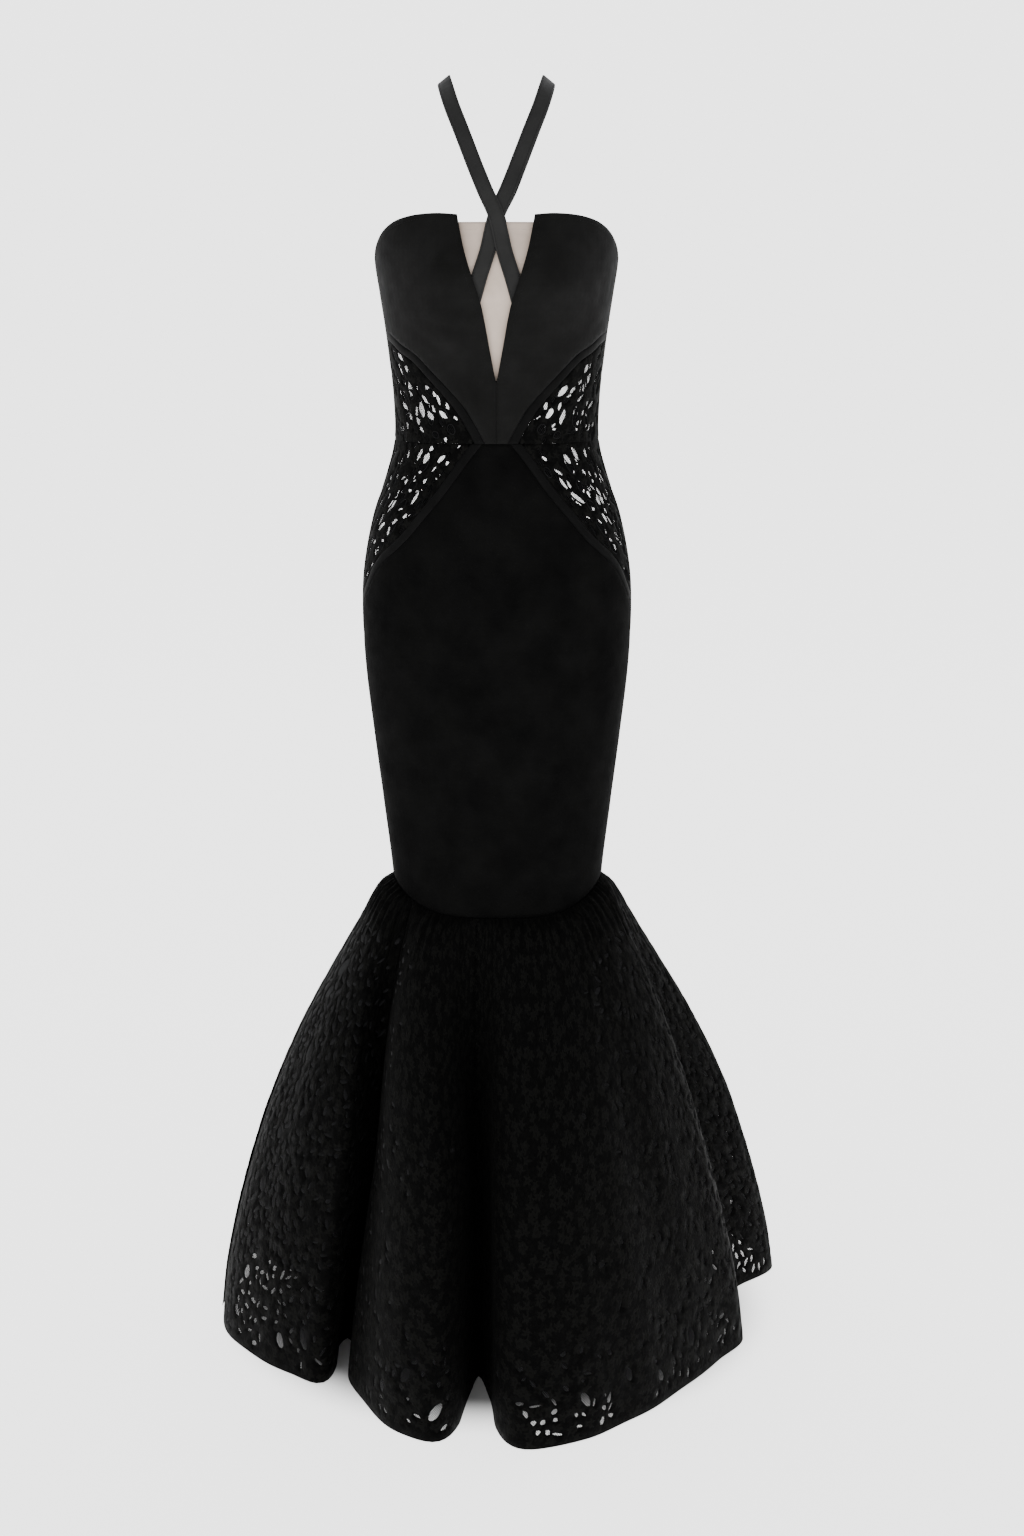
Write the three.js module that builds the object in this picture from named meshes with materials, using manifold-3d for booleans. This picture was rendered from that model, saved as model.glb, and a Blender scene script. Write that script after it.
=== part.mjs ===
// Mermaid gown: a strapless fitted bodice with crossed straps and a deep V filled with nude mesh,
// lace insets at the waist, a narrow skirt to the knee and a gathered lace flare over a lining.
// Millimetres, +Z up. The gown keeps its worn, hollow form. The origin is midway between the tops
// of the two straps, where the wearer's shoulders hold it. The front faces -Y.
import * as THREE from 'three';
import Module from 'manifold-3d';

// Driving dimensions

const CLOTH = 1.3; // thickness of the knit panels
const LACE = 1.3; // thickness of the lace
const MESH = 1.0; // thickness of the nude mesh
const SEAM = 0.35; // distance between two pieces at a seam
const WAIST_Z = -409.5;
const KNEE_SIDE_Z = -941; // the knee seam at the sides
const KNEE_DIP = 36; // how much lower it is at the middle of the front and back
const KNEE_HALF = 128; // half width of the gown at the knee seam
const HEM_Z = -1510.6;
const ROUNDNESS = 2.2; // exponent of the body's cross-sections, 2 is an ellipse
const SIDE_PANEL_ANGLE = 6.2; // half the side panel, in degrees round the body
const BAND_WIDTH = 10; // the plain bands that edge the lace insets
const RADIUS = 115; // turns an angle round the body into millimetres of cloth

// The body's cross-sections: height, half width, and depth to the front and to the back.
const BODY_SECTIONS = [
  { z: -100, half: 134, front: 96, back: 82 },
  { z: -160, half: 140, front: 114, back: 96 },
  { z: -200, half: 142, front: 126, back: 102 },
  { z: -240, half: 136.5, front: 128, back: 103 },
  { z: -280, half: 130.5, front: 120, back: 98 },
  { z: -320, half: 125.5, front: 107, back: 91 },
  { z: -360, half: 121.5, front: 97, back: 85 },
  { z: -410, half: 121, front: 91, back: 82 },
  { z: -450, half: 131, front: 95, back: 93 },
  { z: -500, half: 147.5, front: 100, back: 110 },
  { z: -560, half: 159, front: 104, back: 126 },
  { z: -610, half: 161.4, front: 105, back: 132 },
  { z: -680, half: 158.3, front: 103, back: 128 },
  { z: -760, half: 149.5, front: 98, back: 115 },
  { z: -850, half: 138.5, front: 90, back: 99 },
  { z: -941, half: 128, front: 84, back: 88 },
  { z: -1000, half: 126, front: 82, back: 86 },
];
// The cup on each side of the V: where it stands furthest out, how far, and how wide it is.
const CUP = { x: 68, z: -228, out: 12, acrossX: 34, acrossZ: 38 };

// Edges of the front, as seen from the front, from the middle of the gown to its side.
const CUP_TOP_EDGE = [
  { x: 43.5, z: -153 },
  { x: 66, z: -151.5 },
  { x: 90, z: -153 },
  { x: 108, z: -157 },
  { x: 120, z: -162.5 },
  { x: 130, z: -171 },
  { x: 137, z: -182 },
];
const SIDE_TOP_Z = -196; // the top of the side panels
const V_EDGE = [
  { x: 43.5, z: -153 },
  { x: 36.8, z: -187 },
  { x: 27, z: -221 },
  { x: 16.4, z: -254 },
  { x: 8, z: -298 },
  { x: 0, z: -340 },
];
const BODICE_EDGE = [
  { x: 13, z: WAIST_Z },
  { x: 24, z: -389 },
  { x: 36, z: -370 },
  { x: 50, z: -353 },
  { x: 72, z: -330 },
  { x: 93, z: -309 },
  { x: 110, z: -298 },
  { x: 122, z: -288 },
];
const BODICE_EDGE_SIDE_Z = -283;
const SKIRT_EDGE = [
  { x: 16, z: WAIST_Z },
  { x: 34, z: -432 },
  { x: 59, z: -466 },
  { x: 83, z: -495 },
  { x: 103, z: -519 },
  { x: 118, z: -534 },
  { x: 132, z: -547 },
  { x: 143, z: -562 },
  { x: 153, z: -584 },
];
const SKIRT_EDGE_SIDE_Z = -608;
const BACK_TOP_MIDDLE_Z = -212; // the back's top edge at its middle

// Gaps in the lace insets: place, length, width and lean from upright, for one side of the front.
const UPPER_GAPS = [
  { x: 76, z: -350, long: 22, wide: 8, lean: 52 },
  { x: 99, z: -350, long: 21, wide: 10, lean: 12 },
  { x: 91, z: -379, long: 23, wide: 9, lean: 6 },
  { x: 76, z: -379, long: 19, wide: 8, lean: 16 },
  { x: 104, z: -386, long: 20, wide: 7, lean: -4 },
  { x: 61, z: -375, long: 14, wide: 8, lean: 45 },
  { x: 52, z: -393, long: 12, wide: 8, lean: 20 },
  { x: 112, z: -352, long: 18, wide: 6, lean: 4 },
  { x: 70, z: -400, long: 11, wide: 7, lean: 60 },
  { x: 104, z: -325, long: 12, wide: 6, lean: 30 },
];
const LOWER_GAPS = [
  { x: 86, z: -482, long: 26, wide: 10, lean: -34 },
  { x: 84, z: -433, long: 26, wide: 10, lean: -22 },
  { x: 123, z: -508, long: 25, wide: 10, lean: -32 },
  { x: 59, z: -442, long: 20, wide: 9, lean: -28 },
  { x: 105, z: -427, long: 20, wide: 8, lean: -14 },
  { x: 43, z: -420, long: 20, wide: 9, lean: 70 },
  { x: 98, z: -460, long: 17, wide: 9, lean: -30 },
  { x: 129, z: -478, long: 22, wide: 7, lean: -22 },
  { x: 110, z: -482, long: 16, wide: 9, lean: -35 },
  { x: 118, z: -452, long: 18, wide: 7, lean: -18 },
  { x: 137, z: -531, long: 22, wide: 10, lean: -30 },
  { x: 103, z: -502, long: 15, wide: 8, lean: -42 },
  { x: 73, z: -462, long: 14, wide: 7, lean: -35 },
  { x: 148, z: -555, long: 20, wide: 7, lean: -24 },
];
const GAP_POINTS = 5; // corners of a gap's outline
const GAP_MARGIN = 2; // lace left between a gap and the edge of its piece
const GAP_BRIDGE = 1.6; // lace left between two gaps

// Straps: the middle line of the strap that starts on the right of the front. It begins behind the
// right cup, crosses the other strap, goes over the left shoulder and down the back to the right.
// inset is how far it lies behind the body's surface. face is the direction it faces, 0 to the
// front, 90 up and 180 to the back, and roll is its tilt outwards.
const STRAP_WIDTH = 18;
const STRAP_THICK = 1.4;
const STRAP_ON_FRONT = [
  { x: 33, z: -272, inset: 2.6 },
  { x: 27.5, z: -254, inset: 2.6 },
  { x: 18.5, z: -222, inset: 2.5 },
  { x: 9.6, z: -193, inset: 1.8 },
  { x: 0, z: -154, inset: 0.6 },
];
const STRAP_OVER_SHOULDER = [
  { x: -12.3, y: -103, z: -127, face: 18, roll: 0 },
  { x: -21.4, y: -95, z: -105, face: 23, roll: 0 },
  { x: -38.7, y: -74, z: -61, face: 32, roll: 4 },
  { x: -50, y: -54, z: -33, face: 44, roll: 12 },
  { x: -57.5, y: -30, z: -11, face: 62, roll: 25 },
  { x: -61, y: 0, z: 0, face: 90, roll: 38 },
  { x: -59, y: 28, z: -7, face: 118, roll: 25 },
  { x: -52.6, y: 50, z: -26, face: 137, roll: 12 },
  { x: -41.7, y: 69, z: -53, face: 148, roll: 4 },
  { x: -24, y: 83, z: -98, face: 158, roll: 0 },
  { x: -14.5, y: 88, z: -121, face: 163, roll: 0 },
];
const STRAP_ON_BACK = [
  { x: 0, z: -150, inset: 0.6 },
  { x: 10, z: -190, inset: 2 },
  { x: 17, z: -212, inset: 2.8 },
  { x: 24, z: -234, inset: 2.8 },
];
const STRAP_STEPS = 34;
const STRAP_PASS = 1.1; // where they cross, one strap moves this far out and the other in
const STRAP_CROSSINGS = [-154, -150]; // heights of the crossings, front and back
const STRAP_CROSSING_REACH = 62; // a strap is back in its place this far from a crossing

// The nude mesh behind the V: its edge as seen from the front, and how far it lies behind.
const MESH_INSET = 5.3;
const MESH_EDGE = [
  { x: 58, z: -160 },
  { x: 52, z: -200 },
  { x: 42, z: -245 },
  { x: 28, z: -300 },
  { x: 12, z: -360 },
];

// The flare's fold lines, one row each, clockwise from the left side seam through the front.
// x and y are where the line meets the hem, seam is where it leaves the knee seam, in degrees
// from the middle of the front, and hang is 1 for a valley that falls straight and 0 for a crest
// that bulges.
const FOLD_LINES = [
  { x: -353, y: -15, seam: -90, hang: 0 },
  { x: -333, y: -99, seam: -80, hang: 0 },
  { x: -288, y: -167, seam: -72, hang: 0 },
  { x: -249, y: -203, seam: -66, hang: 0 },
  { x: -211, y: -226, seam: -60, hang: 0.1 },
  { x: -195, y: -186, seam: -57, hang: 0.5 },
  { x: -193, y: -128, seam: -54, hang: 0.9 },
  { x: -186, y: -108, seam: -51.5, hang: 1 },
  { x: -179, y: -128, seam: -49, hang: 0.9 },
  { x: -175, y: -222, seam: -45, hang: 0.4 },
  { x: -143, y: -302, seam: -40, hang: 0.1 },
  { x: -111, y: -346, seam: -34, hang: 0 },
  { x: -68, y: -367, seam: -26, hang: 0 },
  { x: -42, y: -330, seam: -20, hang: 0.3 },
  { x: -32, y: -250, seam: -14, hang: 0.8 },
  { x: -22, y: -208, seam: -9, hang: 1 },
  { x: -9, y: -262, seam: -4, hang: 0.8 },
  { x: -1, y: -338, seam: 2, hang: 0.3 },
  { x: 29, y: -383, seam: 10, hang: 0 },
  { x: 102, y: -362, seam: 23, hang: 0 },
  { x: 156, y: -316, seam: 34, hang: 0 },
  { x: 198, y: -268, seam: 43, hang: 0 },
  { x: 237, y: -219, seam: 52, hang: 0 },
  { x: 271, y: -167, seam: 61, hang: 0 },
  { x: 303, y: -110, seam: 71, hang: 0 },
  { x: 292, y: -40, seam: 81, hang: 0.4 },
  { x: 306, y: 30, seam: 90, hang: 0.6 },
  { x: 366, y: 107, seam: 102, hang: 0 },
  { x: 330, y: 190, seam: 113, hang: 0 },
  { x: 268, y: 258, seam: 124, hang: 0 },
  { x: 208, y: 292, seam: 133, hang: 0.1 },
  { x: 176, y: 254, seam: 139, hang: 0.6 },
  { x: 160, y: 196, seam: 144, hang: 1 },
  { x: 142, y: 258, seam: 149, hang: 0.6 },
  { x: 96, y: 346, seam: 158, hang: 0 },
  { x: 28, y: 380, seam: 169, hang: 0 },
  { x: -22, y: 350, seam: 178, hang: 0.2 },
  { x: -42, y: 276, seam: 184, hang: 0.7 },
  { x: -56, y: 214, seam: 189, hang: 1 },
  { x: -74, y: 280, seam: 194, hang: 0.7 },
  { x: -122, y: 344, seam: 203, hang: 0 },
  { x: -192, y: 326, seam: 215, hang: 0 },
  { x: -234, y: 262, seam: 225, hang: 0.4 },
  { x: -244, y: 200, seam: 233, hang: 1 },
  { x: -292, y: 188, seam: 241, hang: 0.4 },
  { x: -343, y: 118, seam: 254, hang: 0 },
];
// The flare's gores, between fold lines. Row 0 is the left side seam and row 26 the right one, and
// the other seams lie in the deepest valleys.
const GORES = {
  front_l_side: [0, 7],
  front_l: [7, 15],
  front_r: [15, 26],
  back_r_side: [26, 32],
  back_r: [32, 38],
  back_l: [38, 43],
  back_l_side: [43, 46],
};
const FOLD_STEP = 62; // the longest stretch of hem between two columns
const FOLDS_FORM = 0.55; // the share of the flare's height by which its folds are full
// How the flare grows: millimetres below the knee seam, share of the way out to the hem, and
// how far every second gather stands out.
const FLARE_SECTIONS = [
  { down: 0, out: 0, gather: 0.5 },
  { down: 8, out: 0.055, gather: 1.6 },
  { down: 24, out: 0.115, gather: 2 },
  { down: 60, out: 0.21, gather: 1 },
  { down: 115, out: 0.35, gather: 0 },
  { down: 190, out: 0.52, gather: 0 },
  { down: 290, out: 0.7, gather: 0 },
  { down: 400, out: 0.855, gather: 0 },
  { down: 500, out: 0.96, gather: 0 },
  { down: 567, out: 1, gather: 0 },
];
const FLARE_HEIGHT = 567;
const LINING_LENGTH = 452; // the opaque lining ends this far below the knee seam
const LINING_ROWS = 3;
const LINING_INSET = 6;
const LINING_SIDE_INSET = 24; // further in at the sides, where light comes through the lace

// Zones of the flare whose gaps show: between two fold lines, from and to below the knee seam.
const FLARE_GAP_ZONES = [
  { from: 0.4, to: 2, top: 60, bottom: 545, along: 9, across: 1 },
  { from: 2.2, to: 3.7, top: 480, bottom: 548, along: 1, across: 2 },
  { from: 9.8, to: 12.4, top: 480, bottom: 548, along: 1, across: 3 },
  { from: 18.4, to: 22.4, top: 480, bottom: 548, along: 1, across: 4 },
  { from: 23.2, to: 25.2, top: 30, bottom: 545, along: 10, across: 1 },
  { from: 26.6, to: 28.4, top: 60, bottom: 545, along: 9, across: 1 },
  { from: 29, to: 30.4, top: 480, bottom: 548, along: 1, across: 2 },
  { from: 34.2, to: 35.8, top: 480, bottom: 548, along: 1, across: 2 },
  { from: 40.2, to: 41.8, top: 480, bottom: 548, along: 1, across: 2 },
  { from: 44.4, to: 45.6, top: 60, bottom: 545, along: 9, across: 1 },
];
const FLARE_GAP = { long: 20, wide: 10 };

const MATERIALS = {
  knit: { color: 0x101012, roughness: 0.9, metalness: 0 },
  lace: { color: 0x0b0b0d, roughness: 0.8, metalness: 0 },
  band: { color: 0x141416, roughness: 0.6, metalness: 0 },
  mesh: { color: 0xd9cdbf, roughness: 0.8, metalness: 0 },
  lining: { color: 0x09090b, roughness: 0.6, metalness: 0 },
};

// Numbers and curves

const DEGREE = Math.PI / 180;

/** Value of one column of a table at a place in another, on a smooth curve through the rows. */
function fromTable(rows, key, place, column) {
  const last = rows.length - 1;
  const rising = rows[last][key] > rows[0][key];
  const passed = (row) => (rising ? row[key] <= place : row[key] >= place);
  let i = 0;
  while (i < last - 1 && passed(rows[i + 1])) i += 1;
  const [a, b] = [rows[i], rows[i + 1]];
  const before = rows[Math.max(0, i - 1)];
  const after = rows[Math.min(last, i + 2)];
  const span = b[key] - a[key];
  const t = THREE.MathUtils.clamp((place - a[key]) / span, 0, 1);
  const slopeA = ((b[column] - before[column]) / (b[key] - before[key])) * span;
  const slopeB = ((after[column] - a[column]) / (after[key] - a[key])) * span;
  const t2 = t * t;
  const t3 = t2 * t;
  return (2 * t3 - 3 * t2 + 1) * a[column] + (t3 - 2 * t2 + t) * slopeA
    + (3 * t2 - 2 * t3) * b[column] + (t3 - t2) * slopeB;
}

/** A number from 0 to 1 that looks random and is the same each time. */
function scatter(a, b) {
  const n = Math.sin(a * 127.1 + b * 311.7) * 43758.5453;
  return n - Math.floor(n);
}

// The body's surface

/** Point of the body at an angle from the middle of the front, towards +X, and a height. */
function bodyPoint(angle, z) {
  const half = fromTable(BODY_SECTIONS, 'z', z, 'half');
  const s = Math.sin(angle);
  const c = Math.cos(angle);
  const depth = fromTable(BODY_SECTIONS, 'z', z, c > 0 ? 'front' : 'back');
  const x = half * Math.sign(s) * Math.abs(s) ** (2 / ROUNDNESS);
  let y = -depth * Math.sign(c) * Math.abs(c) ** (2 / ROUNDNESS);
  if (c > 0) {
    const dx = (Math.abs(x) - CUP.x) / CUP.acrossX;
    const dz = (z - CUP.z) / CUP.acrossZ;
    y -= CUP.out * Math.exp(-dx * dx - dz * dz) * Math.min(1, 2 * c);
  }
  return new THREE.Vector3(x, y, z);
}

/** Point of the body and the direction straight out of it. Across is millimetres of cloth. */
function onBody(across, z) {
  const step = 0.01;
  const angle = across / RADIUS;
  const round = bodyPoint(angle + step, z).sub(bodyPoint(angle - step, z));
  const up = bodyPoint(angle, z + 1).sub(bodyPoint(angle, z - 1));
  return { point: bodyPoint(angle, z), out: round.cross(up).normalize() };
}

/** Place round the body, in millimetres of cloth, of a front point that lies at x. */
function acrossAt(x, z) {
  const share = Math.min(1, Math.abs(x) / fromTable(BODY_SECTIONS, 'z', z, 'half'));
  return Math.sign(x) * Math.asin(share ** (ROUNDNESS / 2)) * RADIUS;
}

const SIDE = (90 - SIDE_PANEL_ANGLE) * DEGREE * RADIUS; // edge of the side panel
const MIDDLE_BACK = Math.PI * RADIUS;

/** Height of the knee seam at a place round the body. */
function kneeZ(across) {
  const x = bodyPoint(across / RADIUS, KNEE_SIDE_Z).x;
  return KNEE_SIDE_Z - KNEE_DIP * (1 - Math.abs(x / KNEE_HALF) ** 4);
}

// Edges of the panels, as curves in the cloth's own plane: across and z

/** Smooth curve through table rows given as seen from the front. */
function frontEdge(rows, ...more) {
  const points = rows.map((row) => new THREE.Vector2(acrossAt(row.x, row.z), row.z));
  return new THREE.SplineCurve([...points, ...more]);
}

const cupTop = frontEdge(CUP_TOP_EDGE, new THREE.Vector2(SIDE, SIDE_TOP_Z));
const vEdge = frontEdge(V_EDGE);
const bodiceEdge = frontEdge(BODICE_EDGE, new THREE.Vector2(SIDE, BODICE_EDGE_SIDE_Z));
const skirtEdge = frontEdge(SKIRT_EDGE, new THREE.Vector2(SIDE, SKIRT_EDGE_SIDE_Z));

/** Point a distance beside a curve; at its ends it slides along the waist and the side panel. */
function beside(curve, t, distance) {
  const point = curve.getPointAt(t);
  const along = curve.getTangentAt(t);
  const normal = new THREE.Vector2(along.y, -along.x);
  if (t === 0) return point.add(new THREE.Vector2(distance / normal.x, 0));
  if (t === 1) return point.add(new THREE.Vector2(0, distance / normal.y));
  return point.add(normal.multiplyScalar(distance));
}

/** Inside of four edges that meet at their ends: a function of u across and v down. */
function patch(top, bottom, left, right) {
  return (u, v) => {
    const mix = (a, b, t) => a.clone().lerp(b, t);
    const ends = mix(mix(top(0), top(1), u), mix(bottom(0), bottom(1), u), v);
    return mix(top(u), bottom(u), v).add(mix(left(v), right(v), u)).sub(ends);
  };
}

// Solids

/** Closed wall of cloth over a grid of points with their outward directions. */
function wall(columns, rows, at, front, thick) {
  const positions = [];
  const wide = columns + 1;
  const layer = wide * (rows + 1);
  for (const depth of [front, front + thick]) {
    for (let j = 0; j <= rows; j += 1) {
      for (let i = 0; i <= columns; i += 1) {
        const { point, out } = at(i, j);
        positions.push(...point.clone().addScaledVector(out, -depth).toArray());
      }
    }
  }
  const index = [];
  const corner = new THREE.Vector3();
  const far = (a, b) => corner.fromArray(positions, 3 * a).distanceTo(
    new THREE.Vector3().fromArray(positions, 3 * b),
  );
  const quad = (a, b, c, d) => {
    if (far(a, c) <= far(b, d)) index.push(a, b, c, a, c, d);
    else index.push(a, b, d, b, c, d);
  };
  for (let j = 0; j < rows; j += 1) {
    for (let i = 0; i < columns; i += 1) {
      const a = j * wide + i;
      const [b, c, d] = [a + 1, a + wide + 1, a + wide];
      quad(a, d, c, b);
      quad(layer + a, layer + b, layer + c, layer + d);
    }
  }
  for (let i = 0; i < columns; i += 1) {
    const low = rows * wide + i;
    quad(i, i + 1, layer + i + 1, layer + i);
    quad(low + 1, low, layer + low, layer + low + 1);
  }
  for (let j = 0; j < rows; j += 1) {
    const left = j * wide;
    const right = left + columns;
    quad(left + wide, left, layer + left, layer + left + wide);
    quad(right, right + wide, layer + right + wide, layer + right);
  }
  const geometry = new THREE.BufferGeometry();
  geometry.setAttribute('position', new THREE.Float32BufferAttribute(positions, 3));
  geometry.setIndex(index);
  return geometry;
}

/** Turns a geometry inside out, for a piece that is mirrored. */
function flipped(geometry) {
  const index = geometry.getIndex().array;
  for (let i = 0; i < index.length; i += 3) {
    const first = index[i];
    index[i] = index[i + 1];
    index[i + 1] = first;
  }
  return geometry;
}

/** Wall of cloth on the body inside a patch; mirror moves it to the left side or the back. */
function bodyWall(columns, rows, inside, mirror, thick = CLOTH, inset = 0) {
  const at = (i, j) => {
    const place = inside(i / columns, j / rows);
    return onBody(mirror.across(place.x), place.y);
  };
  const geometry = wall(columns, rows, at, inset, thick);
  return mirror.flips ? flipped(geometry) : geometry;
}

// The four quarters that a shape of the right front is used in.
const QUARTERS = {
  front_r: { across: (a) => a, flips: false },
  front_l: { across: (a) => -a, flips: true },
  back_r: { across: (a) => MIDDLE_BACK - a, flips: true },
  back_l: { across: (a) => a - MIDDLE_BACK, flips: false },
};

const wasm = await Module();
wasm.setup();

/** three.js geometry as a manifold solid. */
function solidOf(geometry) {
  const vertProperties = new Float32Array(geometry.getAttribute('position').array);
  const triVerts = new Uint32Array(geometry.getIndex().array);
  return new wasm.Manifold(new wasm.Mesh({ numProp: 3, vertProperties, triVerts }));
}

/** Manifold solid as a three.js geometry. */
function geometryOf(solid) {
  const mesh = solid.getMesh();
  const geometry = new THREE.BufferGeometry();
  geometry.setAttribute('position', new THREE.Float32BufferAttribute(mesh.vertProperties, 3));
  geometry.setIndex(Array.from(mesh.triVerts));
  return geometry;
}

/** Leaf-shaped outline of a gap, uneven as the gaps between lace flowers are. */
function gapOutline(gap, number) {
  const outline = [];
  const lean = gap.lean * DEGREE;
  for (let k = 0; k < GAP_POINTS; k += 1) {
    const turn = (k / GAP_POINTS) * 2 * Math.PI;
    const swell = 0.8 + 0.25 * scatter(number, k);
    const along = (gap.long / 2) * Math.cos(turn) * swell;
    const aside = (gap.wide / 2) * Math.sin(turn) * swell * 1.1;
    outline.push(new THREE.Vector2(
      gap.across + along * Math.sin(lean) + aside * Math.cos(lean),
      gap.z + along * Math.cos(lean) - aside * Math.sin(lean),
    ));
  }
  return outline;
}

/** Closed prism through a wall, over an outline in the cloth's plane. */
function prism(outline, place) {
  const n = outline.length;
  const positions = [];
  for (const depth of [-2, LACE + 2]) {
    for (const corner of outline) {
      const { point, out } = place(corner.x, corner.y);
      positions.push(...point.clone().addScaledVector(out, -depth).toArray());
    }
  }
  const index = [];
  for (let k = 0; k < n; k += 1) {
    const next = (k + 1) % n;
    index.push(k, next, n + next, k, n + next, n + k);
  }
  for (let k = 1; k < n - 1; k += 1) {
    index.push(0, k + 1, k);
    index.push(n, n + k, n + k + 1);
  }
  const geometry = new THREE.BufferGeometry();
  geometry.setAttribute('position', new THREE.Float32BufferAttribute(positions, 3));
  geometry.setIndex(index);
  return geometry;
}

/** True if every corner of an outline lies inside a border, at least a margin from it. */
function clearInside(outline, border, margin) {
  return outline.every((corner) => {
    let inside = false;
    for (let k = 0; k < border.length; k += 1) {
      const a = border[k];
      const b = border[(k + 1) % border.length];
      const side = b.clone().sub(a);
      const share = corner.clone().sub(a).dot(side) / Math.max(side.lengthSq(), 1e-9);
      const nearest = a.clone().addScaledVector(side, THREE.MathUtils.clamp(share, 0, 1));
      if (nearest.distanceTo(corner) < margin) return false;
      if ((a.y > corner.y) !== (b.y > corner.y)) {
        if (corner.x < a.x + (side.x * (corner.y - a.y)) / side.y) inside = !inside;
      }
    }
    return inside;
  });
}

/** True if two outlines keep a bridge of lace between them. */
function apart(one, other, bridge) {
  const grown = (outline) => outline.flatMap((corner, k) => {
    const next = outline[(k + 1) % outline.length];
    return [corner, corner.clone().lerp(next, 1 / 3), corner.clone().lerp(next, 2 / 3)];
  });
  return grown(one).every((p) => grown(other).every((q) => p.distanceTo(q) > bridge));
}

/** Outlines of the gaps that fit a border, each made smaller or left out where it doesn't. */
function fittingGaps(gaps, border, start) {
  const kept = [];
  gaps.forEach((gap, k) => {
    for (const size of [1, 0.82, 0.66]) {
      const smaller = { ...gap, long: gap.long * size, wide: Math.max(4.6, gap.wide * size) };
      const outline = gapOutline(smaller, start + k);
      const fits = clearInside(outline, border, GAP_MARGIN)
        && kept.every((other) => apart(outline, other, GAP_BRIDGE));
      if (fits) {
        kept.push(outline);
        break;
      }
    }
  });
  return kept;
}

/** Cuts prisms over outlines out of a wall. */
function cutThrough(geometry, outlines, place, flips) {
  const cutters = outlines.map((outline) => {
    const cutter = prism(outline, place);
    return solidOf(flips ? flipped(cutter) : cutter);
  });
  const solid = cutters.reduce((rest, cutter) => rest.subtract(cutter), solidOf(geometry));
  return geometryOf(solid);
}

const EDGE_STEPS = 8; // steps along a slanting edge, the same on both sides of a seam
const HALF_SEAM = SEAM / 2;
const PANEL_SIDE = SIDE - HALF_SEAM; // where the front and back pieces end
const WAIST_SHARE = 1 / (EDGE_STEPS + 1); // the first step of a bodice's lower edge
const SKIRT_ROWS = 14;
const SLANT_SHARE = EDGE_STEPS / SKIRT_ROWS; // the share of the skirt's rows beside its band
const V_SHARE = 0.7; // the share of the bodice's rows that lie along the V
const LACE_TIP = 0.045; // the lace starts this far along the slanting edge, as a share

/** Moves a point that lies past the side panel's edge back to it. */
function clearOfSide(point) {
  return point.setX(Math.min(point.x, PANEL_SIDE));
}

/** Lower edge of the bodice: a little of the waist, then the slanting edge up to the side. */
function bodiceLowerEdge(u) {
  const start = beside(bodiceEdge, 0, -HALF_SEAM).x;
  if (u < WAIST_SHARE) {
    const across = THREE.MathUtils.lerp(HALF_SEAM, start, u / WAIST_SHARE);
    return new THREE.Vector2(across, WAIST_Z + HALF_SEAM);
  }
  const point = beside(bodiceEdge, (u - WAIST_SHARE) / (1 - WAIST_SHARE), -HALF_SEAM);
  point.y = Math.max(point.y, WAIST_Z + HALF_SEAM);
  return clearOfSide(point);
}

/** Straight line between two points as a function of its share. */
function straight(a, b) {
  return (t) => a.clone().lerp(b, t);
}

/** One side of the bodice front: cup top, V edge with the seam below it, and the side. */
function bodiceFront() {
  const top = (u) => {
    const point = cupTop.getPointAt(u);
    return u === 0 ? vEdge.getPointAt(0) : clearOfSide(point);
  };
  const vEnd = new THREE.Vector2(HALF_SEAM, vEdge.getPointAt(1).y);
  const below = straight(vEnd, bodiceLowerEdge(0));
  const left = (v) => {
    if (v > V_SHARE) return below((v - V_SHARE) / (1 - V_SHARE));
    const point = vEdge.getPointAt(v / V_SHARE);
    return point.setX(Math.max(HALF_SEAM, point.x));
  };
  return patch(top, bodiceLowerEdge, left, straight(top(1), bodiceLowerEdge(1)));
}

/** One side of the bodice back, up to the middle seam. */
function bodiceBack() {
  const top = (u) => new THREE.Vector2(
    THREE.MathUtils.lerp(HALF_SEAM, PANEL_SIDE, u),
    THREE.MathUtils.lerp(BACK_TOP_MIDDLE_Z, SIDE_TOP_Z, u * u),
  );
  const left = straight(top(0), bodiceLowerEdge(0));
  return patch(top, bodiceLowerEdge, left, straight(top(1), bodiceLowerEdge(1)));
}

/** Edge a distance beside a slanting edge, kept on its own side of the waist and side seams. */
function slant(edge, distance, above) {
  const limit = WAIST_Z + (above ? HALF_SEAM : -HALF_SEAM);
  return (t) => {
    const point = clearOfSide(beside(edge, t, distance));
    point.y = above ? Math.max(point.y, limit) : Math.min(point.y, limit);
    if (t === 0) point.y = limit;
    return point;
  };
}

/** Plain band between a slanting edge and the lace. */
function edgeBand(edge, above) {
  const sign = above ? 1 : -1;
  const near = slant(edge, sign * HALF_SEAM, above);
  const far = slant(edge, sign * (BAND_WIDTH - HALF_SEAM), above);
  const [top, bottom] = above ? [near, far] : [far, near];
  return (u, v) => top(u).lerp(bottom(u), v);
}

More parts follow.
